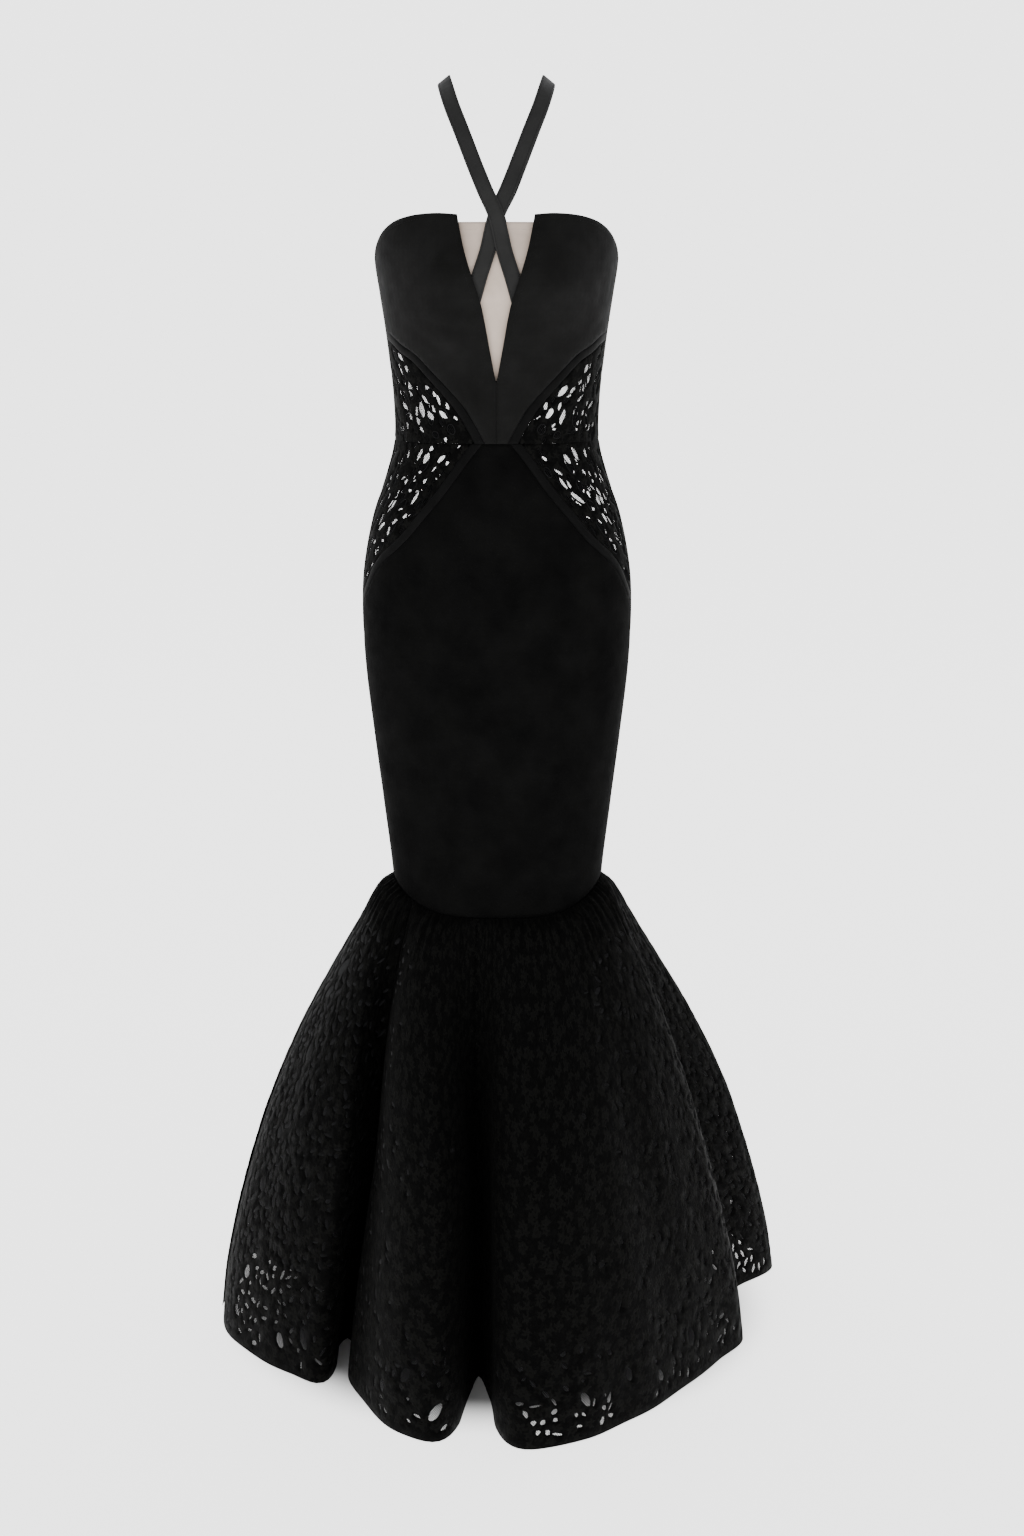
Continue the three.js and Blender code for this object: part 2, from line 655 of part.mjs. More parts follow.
/** Lace inset between the waist and a band, which narrows to a tip at the middle. */
function laceInset(edge, above) {
  const sign = above ? 1 : -1;
  const rim = slant(edge, sign * (BAND_WIDTH + HALF_SEAM), above);
  const slanting = (u) => rim(u === 0 ? LACE_TIP : u);
  const waistZ = WAIST_Z + sign * HALF_SEAM;
  const waist = (u) => new THREE.Vector2(
    u === 0 ? slanting(0).x : THREE.MathUtils.lerp(slanting(0).x, PANEL_SIDE, u),
    waistZ,
  );
  const [top, bottom] = above ? [slanting, waist] : [waist, slanting];
  return patch(top, bottom, straight(top(0), bottom(0)), straight(top(1), bottom(1)));
}

/** Outline of a patch as a closed list of points. */
function borderOf(inside, steps) {
  const border = [];
  for (let k = 0; k < steps; k += 1) border.push(inside(k / steps, 0));
  for (let k = 0; k < steps; k += 1) border.push(inside(1, k / steps));
  for (let k = steps; k > 0; k -= 1) border.push(inside(k / steps, 1));
  for (let k = steps; k > 0; k -= 1) border.push(inside(0, k / steps));
  return border;
}

/** One lace inset with its gaps cut through. */
function laceWithGaps(edge, above, gaps, rows, quarter, number) {
  const inside = laceInset(edge, above);
  const geometry = bodyWall(EDGE_STEPS, rows, inside, quarter, LACE);
  const placed = gaps.map((gap) => ({ ...gap, across: acrossAt(gap.x, gap.z) }));
  const outlines = fittingGaps(placed, borderOf(inside, EDGE_STEPS), number);
  const place = (across, z) => onBody(quarter.across(across), z);
  return cutThrough(geometry, outlines, place, quarter.flips);
}

/** Side edge of the skirt: down the slanting edge, then down the side panel to the knee. */
function skirtSide(v) {
  if (v <= SLANT_SHARE) {
    const point = clearOfSide(beside(skirtEdge, v / SLANT_SHARE, HALF_SEAM));
    point.y = Math.min(point.y, WAIST_Z - HALF_SEAM);
    return point;
  }
  const low = kneeZ(PANEL_SIDE) + HALF_SEAM;
  const high = beside(skirtEdge, 1, HALF_SEAM).y;
  const share = (v - SLANT_SHARE) / (1 - SLANT_SHARE);
  return new THREE.Vector2(PANEL_SIDE, THREE.MathUtils.lerp(high, low, share));
}

/** Skirt from one place round the body to its right side edge; from is its left side. */
function skirt(from) {
  const tip = (v) => skirtSide(v);
  const left = from === 'side' ? (v) => tip(v).setX(-tip(v).x) : (v) => {
    const z = THREE.MathUtils.lerp(WAIST_Z - HALF_SEAM, kneeZ(0) + HALF_SEAM, v);
    return new THREE.Vector2(HALF_SEAM, z);
  };
  const bottom = (u) => {
    const across = THREE.MathUtils.lerp(left(1).x, PANEL_SIDE, u);
    return new THREE.Vector2(across, kneeZ(across) + HALF_SEAM);
  };
  return patch(straight(left(0), tip(0)), bottom, left, tip);
}

/** Side panel between two heights, the lower one given round the body. */
function sidePanel(top, bottomZ) {
  const start = SIDE + HALF_SEAM;
  const end = MIDDLE_BACK - start;
  return (u, v) => {
    const across = THREE.MathUtils.lerp(start, end, u);
    return new THREE.Vector2(across, THREE.MathUtils.lerp(top, bottomZ(across), v));
  };
}

// The strap's frame along its middle line

const strapRows = [
  ...STRAP_ON_FRONT.map((row) => {
    const { point, out } = onBody(acrossAt(row.x, row.z), row.z);
    return { point: point.addScaledVector(out, -row.inset), out };
  }),
  ...STRAP_OVER_SHOULDER.map((row) => {
    const [face, roll] = [row.face * DEGREE, row.roll * DEGREE];
    const [forward, up] = [-Math.cos(face), Math.sin(face)];
    const out = new THREE.Vector3(-Math.sin(roll), forward * Math.cos(roll), up * Math.cos(roll));
    return { point: new THREE.Vector3(row.x, row.y, row.z), out };
  }),
  ...STRAP_ON_BACK.map((row) => {
    const { point, out } = onBody(MIDDLE_BACK - acrossAt(row.x, row.z), row.z);
    return { point: point.addScaledVector(out, -row.inset), out };
  }),
];
const strapLine = new THREE.CatmullRomCurve3(strapRows.map((row) => row.point), false, 'centripetal');
const strapFacing = new THREE.CatmullRomCurve3(strapRows.map((row) => row.out));

/** Ribbon along the strap's line; side 1 is the line as given, -1 is its mirror image. */
function strap(side) {
  const at = (i, j) => {
    const t = j / STRAP_STEPS;
    const point = strapLine.getPoint(t);
    const along = strapLine.getTangent(t);
    const width = along.clone().cross(strapFacing.getPoint(t)).normalize();
    const out = width.clone().cross(along).normalize();
    const crossing = STRAP_CROSSINGS[point.y < 0 ? 0 : 1];
    const near = 1 - Math.abs(point.z - crossing) / STRAP_CROSSING_REACH;
    const pass = side * STRAP_PASS * THREE.MathUtils.smoothstep(near, 0, 0.5);
    point.addScaledVector(width, (i - 0.5) * STRAP_WIDTH).addScaledVector(out, pass);
    point.x *= side;
    out.x *= side;
    return { point, out };
  };
  const geometry = wall(1, STRAP_STEPS, at, 0, STRAP_THICK);
  return side > 0 ? flipped(geometry) : geometry;
}

/** The nude mesh, from the left edge to the right one. */
function modestyMesh() {
  const edge = frontEdge(MESH_EDGE);
  return (u, v) => {
    const point = edge.getPointAt(v);
    return point.setX(point.x * (2 * u - 1));
  };
}

// The flare

const hemLine = new THREE.CatmullRomCurve3(
  FOLD_LINES.map((row) => new THREE.Vector3(row.x, row.y, HEM_Z)),
  true,
  'centripetal',
);
const RELAXED_RADIUS = 335; // the hem's radius before its folds form

/** Point of the flare on a fold line, counted in rows of the table, and below the knee seam. */
function flarePoint(fold, down) {
  const count = FOLD_LINES.length;
  const wrapped = ((fold % count) + count) % count;
  const i = Math.floor(wrapped);
  const [a, b] = [FOLD_LINES[i], FOLD_LINES[(i + 1) % count]];
  const share = wrapped - i;
  const turn = i + 1 === count ? 360 : 0;
  const seam = THREE.MathUtils.lerp(a.seam, b.seam + turn, share) * DEGREE;
  const hang = THREE.MathUtils.lerp(a.hang, b.hang, share);
  const start = bodyPoint(seam, KNEE_SIDE_Z);
  start.z = kneeZ(seam * RADIUS) - SEAM;
  const fall = down / FLARE_HEIGHT;
  const grown = THREE.MathUtils.lerp(fromTable(FLARE_SECTIONS, 'down', down, 'out'), fall, hang);
  const formed = 1 - (1 - Math.min(1, fall / FOLDS_FORM)) ** 1.5;
  const relaxed = new THREE.Vector3(Math.sin(seam), -Math.cos(seam), 0);
  const target = relaxed.multiplyScalar(RELAXED_RADIUS).lerp(hemLine.getPoint(wrapped / count), formed);
  const point = start.clone().lerp(target, grown);
  return point.setZ(THREE.MathUtils.lerp(start.z, HEM_Z, fall));
}

/** Point of the flare with its outward direction and the direction round it. */
function onFlare(fold, down) {
  const [near, small] = [0.04, 1];
  const round = flarePoint(fold + near, down).sub(flarePoint(fold - near, down));
  const high = Math.max(0, down - small);
  const low = Math.min(FLARE_HEIGHT, down + small);
  const up = flarePoint(fold, high).sub(flarePoint(fold, low));
  const out = round.clone().cross(up).normalize();
  return { point: flarePoint(fold, down), out, round: round.normalize() };
}

/** Fold places of the columns from one fold line to another. */
function foldColumns(from, to) {
  const columns = [];
  for (let i = from; i < to; i += 1) {
    const [a, b] = [FOLD_LINES[i], FOLD_LINES[(i + 1) % FOLD_LINES.length]];
    const steps = Math.ceil(Math.hypot(b.x - a.x, b.y - a.y) / FOLD_STEP);
    for (let k = 0; k < steps; k += 1) columns.push(i + k / steps);
  }
  return [...columns, to];
}

/** Point of a flare wall, kept half a seam from the side seams at its first and last column. */
function seamed(columns, i, down) {
  const { point, out, round } = onFlare(columns[i], down);
  if (i === 0) point.addScaledVector(round, HALF_SEAM);
  if (i === columns.length - 1) point.addScaledVector(round, -HALF_SEAM);
  return { point, out };
}

/** Lace layer of the flare between two fold lines, with gathers under the knee seam. */
function flareLace(from, to) {
  const columns = foldColumns(from, to);
  const at = (i, j) => {
    const { down, gather } = FLARE_SECTIONS[j];
    const place = seamed(columns, i, down);
    place.point.addScaledVector(place.out, i % 2 === 0 ? -gather : gather);
    return place;
  };
  return wall(columns.length - 1, FLARE_SECTIONS.length - 1, at, 0, LACE);
}

/** Opaque layer inside the lace, further in at the sides. */
function flareLining(from, to) {
  const columns = foldColumns(from, to);
  const at = (i, j) => {
    const down = 2 + (LINING_LENGTH - 2) * (j / LINING_ROWS) ** 1.6;
    const place = seamed(columns, i, down);
    const fold = THREE.MathUtils.lerp(...seamPair(columns[i])) * DEGREE;
    const sideways = Math.abs(Math.sin(fold)) ** 6 * LINING_SIDE_INSET;
    const begun = THREE.MathUtils.smoothstep(down, 0, 70);
    place.point.addScaledVector(place.out, -LINING_INSET * (0.65 + 0.35 * begun) - sideways * begun);
    return place;
  };
  return wall(columns.length - 1, LINING_ROWS, at, 0, CLOTH);
}

/** Seam angles of the fold lines on each side of a place, and the share between them. */
function seamPair(fold) {
  const count = FOLD_LINES.length;
  const i = Math.floor(fold) % count;
  const turn = i + 1 === count ? 360 : 0;
  return [FOLD_LINES[i].seam, FOLD_LINES[(i + 1) % count].seam + turn, fold - Math.floor(fold)];
}

/** Cuts the gaps of the zones that lie between two fold lines out of a lace layer. */
function cutZones(geometry, from, to) {
  const cutters = [];
  const zones = FLARE_GAP_ZONES.filter((zone) => zone.from >= from && zone.to <= to);
  zones.forEach((zone, z) => {
    for (let k = 0; k < zone.along; k += 1) {
      for (let m = 0; m < zone.across; m += 1) {
        const number = 100 * (from + z + 1) + 10 * k + m;
        const shift = 0.5 + 0.3 * (scatter(number, 1) - 0.5);
        const fold = THREE.MathUtils.lerp(zone.from, zone.to, (m + shift) / zone.across);
        const drop = 0.5 + 0.4 * (scatter(number, 2) - 0.5) + (m % 2 === 0 ? 0.12 : -0.12);
        const down = THREE.MathUtils.lerp(zone.top, zone.bottom, (k + drop) / zone.along);
        const reach = 0.05;
        const stretch = flarePoint(fold + reach, down).distanceTo(flarePoint(fold - reach, down));
        const gap = {
          across: 0,
          z: 0,
          long: FLARE_GAP.long * (0.8 + 0.5 * scatter(number, 3)),
          wide: FLARE_GAP.wide * (0.8 + 0.4 * scatter(number, 4)),
          lean: 80 * (scatter(number, 5) - 0.5),
        };
        const place = (x, y) => onFlare(fold + (x * 2 * reach) / stretch, down - y);
        cutters.push(solidOf(prism(gapOutline(gap, number), place)));
      }
    }
  });
  const solid = cutters.reduce((rest, cutter) => rest.subtract(cutter), solidOf(geometry));
  return geometryOf(solid);
}

// The gown, piece by piece

const gown = new THREE.Group();
gown.name = 'mermaid_gown';

/** Adds a named piece of one material to the gown. */
function addPiece(name, geometry, material) {
  const mesh = new THREE.Mesh(geometry, new THREE.MeshStandardMaterial(MATERIALS[material]));
  mesh.name = name;
  gown.add(mesh);
}

const BODICE_ROWS = { front: 9, back: 5 };
const SKIRT_COLUMNS = { front: 12, back: 6 };
const LACE_ROWS = { upper: 3, lower: 4 };
const SIDE_GRID = { columns: 2, upperRows: 5, lowerRows: 10 };
const MESH_GRID = { columns: 6, rows: 6 };

for (const [place, quarter] of Object.entries(QUARTERS)) {
  const front = place.startsWith('front');
  const rows = front ? BODICE_ROWS.front : BODICE_ROWS.back;
  const bodice = front ? bodiceFront() : bodiceBack();
  addPiece(`bodice_${place}`, bodyWall(EDGE_STEPS + 1, rows, bodice, quarter), 'knit');
  const upperBand = bodyWall(EDGE_STEPS, 1, edgeBand(bodiceEdge, true), quarter);
  addPiece(`band_upper_${place}`, upperBand, 'band');
  const lowerBand = bodyWall(EDGE_STEPS, 1, edgeBand(skirtEdge, false), quarter);
  addPiece(`band_lower_${place}`, lowerBand, 'band');
  const number = 40 * Object.keys(QUARTERS).indexOf(place);
  const upper = laceWithGaps(bodiceEdge, true, UPPER_GAPS, LACE_ROWS.upper, quarter, number);
  addPiece(`lace_upper_${place}`, upper, 'lace');
  const lower = laceWithGaps(skirtEdge, false, LOWER_GAPS, LACE_ROWS.lower, quarter, number + 20);
  addPiece(`lace_lower_${place}`, lower, 'lace');
}

const wholeFront = bodyWall(SKIRT_COLUMNS.front, SKIRT_ROWS, skirt('side'), QUARTERS.front_r);
addPiece('skirt_front', wholeFront, 'knit');
for (const place of ['back_l', 'back_r']) {
  const half = bodyWall(SKIRT_COLUMNS.back, SKIRT_ROWS, skirt('middle'), QUARTERS[place]);
  addPiece(`skirt_${place}`, half, 'knit');
}

const aboveWaist = sidePanel(SIDE_TOP_Z, () => WAIST_Z + HALF_SEAM);
const belowWaist = sidePanel(WAIST_Z - HALF_SEAM, (across) => kneeZ(across) + HALF_SEAM);
for (const side of ['l', 'r']) {
  const quarter = QUARTERS[`front_${side}`];
  const { columns, upperRows, lowerRows } = SIDE_GRID;
  addPiece(`side_upper_${side}`, bodyWall(columns, upperRows, aboveWaist, quarter), 'knit');
  addPiece(`side_lower_${side}`, bodyWall(columns, lowerRows, belowWaist, quarter), 'knit');
}

addPiece('strap_from_right_cup', strap(1), 'knit');
addPiece('strap_from_left_cup', strap(-1), 'knit');
const { columns: meshColumns, rows: meshRows } = MESH_GRID;
const nude = bodyWall(meshColumns, meshRows, modestyMesh(), QUARTERS.front_r, MESH, MESH_INSET);
addPiece('modesty_mesh', nude, 'mesh');

for (const [place, [from, to]] of Object.entries(GORES)) {
  addPiece(`flare_lace_${place}`, cutZones(flareLace(from, to), from, to), 'lace');
  addPiece(`flare_lining_${place}`, flareLining(from, to), 'lining');
}

export default gown;
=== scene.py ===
"""Looks of a mermaid gown: knit panels, lace insets, crossed straps and a gathered lace flare.

Every piece is a thin shell on the form of its solid. Sizes are in millimetres, which a mesh
turns into metres, and the front faces -Y.
"""

import logging
import math
from collections.abc import Callable
from dataclasses import dataclass, field
from enum import Enum

import bpy
import numpy as np
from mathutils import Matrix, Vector
from mathutils.geometry import delaunay_2d_cdt

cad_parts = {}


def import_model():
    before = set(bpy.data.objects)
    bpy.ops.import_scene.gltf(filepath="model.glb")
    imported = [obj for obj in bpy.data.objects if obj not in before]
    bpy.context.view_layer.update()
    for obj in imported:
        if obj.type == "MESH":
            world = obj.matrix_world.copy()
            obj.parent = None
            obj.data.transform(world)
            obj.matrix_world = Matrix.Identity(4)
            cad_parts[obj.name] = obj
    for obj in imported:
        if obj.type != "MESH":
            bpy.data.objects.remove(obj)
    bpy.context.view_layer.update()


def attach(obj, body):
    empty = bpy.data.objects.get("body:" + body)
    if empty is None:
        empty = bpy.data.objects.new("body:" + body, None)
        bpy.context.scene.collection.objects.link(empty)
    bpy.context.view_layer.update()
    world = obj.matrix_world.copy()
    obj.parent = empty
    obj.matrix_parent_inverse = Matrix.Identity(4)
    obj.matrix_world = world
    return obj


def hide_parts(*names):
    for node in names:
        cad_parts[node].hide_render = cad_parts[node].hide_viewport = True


MM = 0.001
UV_PER_MM = 0.01
AT_A_TIME = 500
LEAST_GAP = 4.6
GAP_SIZES = (1, 0.82, 0.66)
Array = np.ndarray
Curve = Callable[[Array], Array]
Surface = Callable[[Array], tuple[Array, Array]]

log = logging.getLogger("gown")


def unit(vectors: Array) -> Array:
    """Vectors scaled to length one."""
    return vectors / np.maximum(np.linalg.norm(vectors, axis=-1, keepdims=True), 1e-12)


def smoothstep(values: Array, low: float, high: float) -> Array:
    """Soft step from 0 at low to 1 at high."""
    t = np.clip((values - low) / (high - low), 0.0, 1.0)
    return t * t * (3.0 - 2.0 * t)


def scatter(a: Array | float, b: Array | float) -> Array:
    """Number from 0 to 1 for each pair, the same in each run."""
    n = np.sin(np.asarray(a) * 127.1 + np.asarray(b) * 311.7) * 43758.5453
    return n - np.floor(n)


@dataclass(frozen=True)
class Table:
    """Rows of numbers read with a smooth curve between them.

    Args:
        rows: rows of a key and its values, with the key rising.
    """

    rows: tuple[tuple[float, ...], ...]

    def read(self, key: Array, column: int) -> Array:
        """Value of a column at each key.

        Args:
            key: places in the first column.
            column: the column to read.

        Returns:
            The values, on a smooth curve through the rows.
        """
        data = np.array(self.rows, float)
        x, y = data[:, 0], data[:, column]
        slope = np.empty_like(y)
        slope[1:-1] = (y[2:] - y[:-2]) / (x[2:] - x[:-2])
        slope[0] = (y[1] - y[0]) / (x[1] - x[0])
        slope[-1] = (y[-1] - y[-2]) / (x[-1] - x[-2])
        i = np.clip(np.searchsorted(x, key, side="right") - 1, 0, len(x) - 2)
        span = x[i + 1] - x[i]
        t = np.clip((key - x[i]) / span, 0.0, 1.0)
        h = t * t * (3 - 2 * t)
        return (
            (1 - h) * y[i]
            + h * y[i + 1]
            + t * (1 - t) ** 2 * span * slope[i]
            - t * t * (1 - t) * span * slope[i + 1]
        )


@dataclass(frozen=True)
class Spline:
    """Smooth curve through points, read by its share from start to end.

    Args:
        points: the points, one a row.
        closed: True if the curve returns to its start.
        centripetal: True for a curve that keeps tight turns free of loops.
    """

    points: Array
    closed: bool = False
    centripetal: bool = False

    def at(self, place: Array) -> Array:
        """Points at places counted in rows of the table.

        Args:
            place: places, where whole numbers are the rows.

        Returns:
            One point a place.
        """
        p = np.asarray(self.points, float)
        n = len(p)
        place = np.asarray(place, float)
        if self.closed:
            i = np.floor(place).astype(int)
            t = place - i
            rows = [p[(i + k) % n] for k in (-1, 0, 1, 2)]
        else:
            i = np.clip(np.floor(place).astype(int), 0, n - 2)
            t = place - i
            ends = (p[0] * 2 - p[1], p[-1] * 2 - p[-2]) if self.centripetal else (p[0], p[-1])
            padded = np.vstack([ends[0], p, ends[1]])
            rows = [padded[i + k] for k in (0, 1, 2, 3)]
        t = t[..., None]
        if self.centripetal:
            return self._centripetal(rows, t)
        a, b, c, d = rows
        v0, v1 = (c - a) / 2, (d - b) / 2
        return (2 * b - 2 * c + v0 + v1) * t**3 + (3 * c - 3 * b - 2 * v0 - v1) * t**2 + v0 * t + b

    @staticmethod
    def _centripetal(rows: list[Array], t: Array) -> Array:
        """Points between the middle two of four rows.

        Args:
            rows: the four rows around each place.
            t: share of the way between the middle two.

        Returns:
            The points.
        """
        a, b, c, d = rows
        steps = [np.sqrt(np.linalg.norm(q - p, axis=-1, keepdims=True)) for p, q in ((a, b), (b, c), (c, d))]
        d0, d1, d2 = steps
        t1 = ((b - a) / d0 - (c - a) / (d0 + d1) + (c - b) / d1) * d1
        t2 = ((c - b) / d1 - (d - b) / (d1 + d2) + (d - c) / d2) * d1
        return (2 * b - 2 * c + t1 + t2) * t**3 + (3 * c - 3 * b - 2 * t1 - t2) * t**2 + t1 * t + b

    def along(self, share: Array) -> Array:
        """Points at even shares of the curve's length.

        Args:
            share: shares of the length, 0 to 1.

        Returns:
            One point a share.
        """
        dense = np.linspace(0, len(self.points) - 1, 40 * len(self.points))
        line = self.at(dense)
        run = np.concatenate([[0], np.cumsum(np.linalg.norm(np.diff(line, axis=0), axis=1))])
        return self.at(np.interp(np.asarray(share) * run[-1], run, dense))


class Place(Enum):
    """The quarter of the gown that a shape of the right front is used in."""

    FRONT_R = "front_r"
    FRONT_L = "front_l"
    BACK_R = "back_r"
    BACK_L = "back_l"

    @property
    def is_front(self) -> bool:
        """True on the front."""
        return self in (Place.FRONT_R, Place.FRONT_L)

    def across(self, across: Array, middle_back: float) -> Array:
        """Place round the body of a place on the right front.

        Args:
            across: millimetres of cloth from the middle of the front.
            middle_back: where the middle of the back lies.

        Returns:
            Millimetres of cloth from the middle of the front, negative to the left.
        """
        moved = {
            Place.FRONT_R: across,
            Place.FRONT_L: -across,
            Place.BACK_R: middle_back - across,
            Place.BACK_L: across - middle_back,
        }
        return moved[self]


@dataclass(frozen=True)
class Body:
    """The general figure whose form the gown keeps: sections and cups, in millimetres."""

    sections: Table = Table((
        (-1000, 126, 82, 86),
        (-941, 128, 84, 88),
        (-850, 138.5, 90, 99),
        (-760, 149.5, 98, 115),
        (-680, 158.3, 103, 128),
        (-610, 161.4, 105, 132),
        (-560, 159, 104, 126),
        (-500, 147.5, 100, 110),
        (-450, 131, 95, 93),
        (-410, 121, 91, 82),
        (-360, 121.5, 97, 85),
        (-320, 125.5, 107, 91),
        (-280, 130.5, 120, 98),
        (-240, 136.5, 128, 103),
        (-200, 142, 126, 102),
        (-160, 140, 114, 96),
        (-100, 134, 96, 82),
    ))
    roundness: float = 2.2
    radius: float = 115
    cup_x: float = 68
    cup_z: float = -228
    cup_out: float = 12
    cup_across: float = 34
    cup_height: float = 38

    @property
    def middle_back(self) -> float:
        """Place of the middle of the back, in millimetres of cloth."""
        return math.pi * self.radius

    def point(self, angle: Array, z: Array) -> Array:
        """Points of the body.

        Args:
            angle: angle from the middle of the front towards +X.
            z: height.

        Returns:
            The points, in millimetres.
        """
        s, c = np.sin(angle), np.cos(angle)
        depth = np.where(c > 0, self.sections.read(z, 2), self.sections.read(z, 3))
        x = self.sections.read(z, 1) * np.sign(s) * np.abs(s) ** (2 / self.roundness)
        y = -depth * np.sign(c) * np.abs(c) ** (2 / self.roundness)
        dx = (np.abs(x) - self.cup_x) / self.cup_across
        dz = (z - self.cup_z) / self.cup_height
        cup = self.cup_out * np.exp(-dx * dx - dz * dz) * np.clip(2 * c, 0, 1)
        return np.stack([x, y - cup, z], axis=-1)

    def surface(self, places: Array) -> tuple[Array, Array]:
        """Points and outward directions at places on the cloth.

        Args:
            places: rows of millimetres of cloth round the body, and height.

        Returns:
            The points and the directions.
        """
        angle, z = places[..., 0] / self.radius, places[..., 1]
        step = 0.01
        round_it = self.point(angle + step, z) - self.point(angle - step, z)
        up = self.point(angle, z + 1) - self.point(angle, z - 1)
        return self.point(angle, z), unit(np.cross(round_it, up))

    def across_at(self, x: Array, z: Array) -> Array:
        """Place round the body of a front point seen at x.

        Args:
            x: distance from the middle, as seen from the front.
            z: height.

        Returns:
            Millimetres of cloth from the middle of the front.
        """
        x, z = np.asarray(x, float), np.asarray(z, float)
        share = np.minimum(1, np.abs(x) / self.sections.read(z, 1))
        return np.sign(x) * np.arcsin(share ** (self.roundness / 2)) * self.radius


@dataclass(frozen=True)
class Cut:
    """The gown's cutting lines, in millimetres, as in the solids."""

    body: Body = field(default_factory=Body)
    waist_z: float = -409.5
    knee_z: float = -941
    knee_dip: float = 36
    knee_half: float = 128
    hem_z: float = -1510.6
    side_angle: float = 6.2
    side_top_z: float = -196
    back_top_z: float = -212
    band_width: float = 10
    seam: float = 0.06
    lace_tip: float = 0.045
    cup_top: tuple[tuple[float, float], ...] = (
        (43.5, -153), (66, -151.5), (90, -153), (108, -157), (120, -162.5), (130, -171), (137, -182),
    )
    v_edge: tuple[tuple[float, float], ...] = (
        (43.5, -153), (36.8, -187), (27, -221), (16.4, -254), (8, -298), (0, -340),
    )
    bodice_edge: tuple[tuple[float, float], ...] = (
        (13, -409.5), (24, -389), (36, -370), (50, -353), (72, -330), (93, -309), (110, -298),
        (122, -288),
    )
    bodice_side_z: float = -283
    skirt_edge: tuple[tuple[float, float], ...] = (
        (16, -409.5), (34, -432), (59, -466), (83, -495), (103, -519), (118, -534), (132, -547),
        (143, -562), (153, -584),
    )
    skirt_side_z: float = -608

    @property
    def side(self) -> float:
        """Front edge of the side panel, in millimetres of cloth."""
        return math.radians(90 - self.side_angle) * self.body.radius

    @property
    def panel_side(self) -> float:
        """Where the front and back pieces end."""
        return self.side - self.seam / 2

    def front_line(self, rows: tuple[tuple[float, float], ...], end_z: float | None = None) -> Spline:
        """Cutting line through rows given as seen from the front.

        Args:
            rows: rows of x and z.
            end_z: height where the line ends at the side panel, if it goes there.

        Returns:
            The line in the cloth's plane.
        """
        xz = np.array(rows, float)
        line = np.column_stack([self.body.across_at(xz[:, 0], xz[:, 1]), xz[:, 1]])
        if end_z is not None:
            line = np.vstack([line, [self.side, end_z]])
        return Spline(line)

    def beside(self, line: Spline, share: Array, distance: float) -> Array:
        """Line a distance beside another; its ends slide along the waist and the side panel.

        Args:
            line: the cutting line.
            share: shares of its length.
            distance: how far beside it, to its right as it runs.

        Returns:
            Points in the cloth's plane.
        """
        share = np.asarray(share, float)
        step = 0.002
        ahead = line.along(np.clip(share + step, 0, 1)) - line.along(np.clip(share - step, 0, 1))
        along = unit(ahead)
        normal = np.column_stack([along[:, 1], -along[:, 0]])
        moved = line.along(share) + normal * distance
        first, last = share <= 0, share >= 1
        moved[first] = line.along(share[first]) + np.column_stack(
            [distance / normal[first, 0], np.zeros(first.sum())]
        )
        moved[last] = line.along(share[last]) + np.column_stack(
            [np.zeros(last.sum()), distance / normal[last, 1]]
        )
        moved[:, 0] = np.minimum(moved[:, 0], self.panel_side)
        return moved

    def quarter(self, place: Place) -> Surface:
        """Surface of one quarter, read with places of the right front.

        Args:
            place: the quarter.

        Returns:
            Function from places to points and outward directions.
        """
        shift = self.body.middle_back
        return lambda at: self.body.surface(np.column_stack([place.across(at[:, 0], shift), at[:, 1]]))

    def knee(self, across: Array) -> Array:
        """Height of the knee seam round the body."""
        x = self.body.point(across / self.body.radius, np.full_like(across, self.knee_z))[..., 0]
        return self.knee_z - self.knee_dip * (1 - np.abs(x / self.knee_half) ** 4)

    def slant(self, upper: bool, distance: float) -> Curve:
        """Line beside the slanting edge of the bodice or skirt, towards the lace if positive.

        Args:
            upper: True for the bodice's edge, False for the skirt's.
            distance: how far from the edge, towards the lace.

        Returns:
            Function from shares to points.
        """
        rows, end = (self.bodice_edge, self.bodice_side_z) if upper else (self.skirt_edge, self.skirt_side_z)
        line = self.front_line(rows, end)
        sign = 1 if upper else -1
        limit = self.waist_z + sign * self.seam / 2

        def curve(share: Array) -> Array:
            """Points at shares of the line.

            Args:
                share: shares of its length.

            Returns:
                The points.
            """
            points = self.beside(line, np.atleast_1d(share), sign * distance)
            bound = np.maximum if upper else np.minimum
            points[:, 1] = bound(points[:, 1], limit)
            points[np.atleast_1d(share) <= 0, 1] = limit
            return points

        return curve


@dataclass(frozen=True)
class Crease:
    """One soft trough or ridge in a cloth.

    Args:
        across: place round the body.
        z: height.
        length: how long it is.
        width: how wide it is.
        depth: how deep; negative for a ridge.
        lean: degrees from upright.
    """

    across: float
    z: float
    length: float
    width: float
    depth: float
    lean: float

    def depth_at(self, places: Array) -> Array:
        """How far the crease sinks the cloth at each place.

        Args:
            places: places in the cloth's plane.

        Returns:
            Depths in millimetres.
        """
        lean = math.radians(self.lean)
        dx, dz = places[..., 0] - self.across, places[..., 1] - self.z
        along = dx * math.sin(lean) + dz * math.cos(lean)
        aside = dx * math.cos(lean) - dz * math.sin(lean)
        aside = aside + 0.08 * self.length * np.sin(along / self.length * 2.1)
        return self.depth * np.exp(-((along / (self.length / 2)) ** 2) - (aside / (self.width / 2)) ** 2)


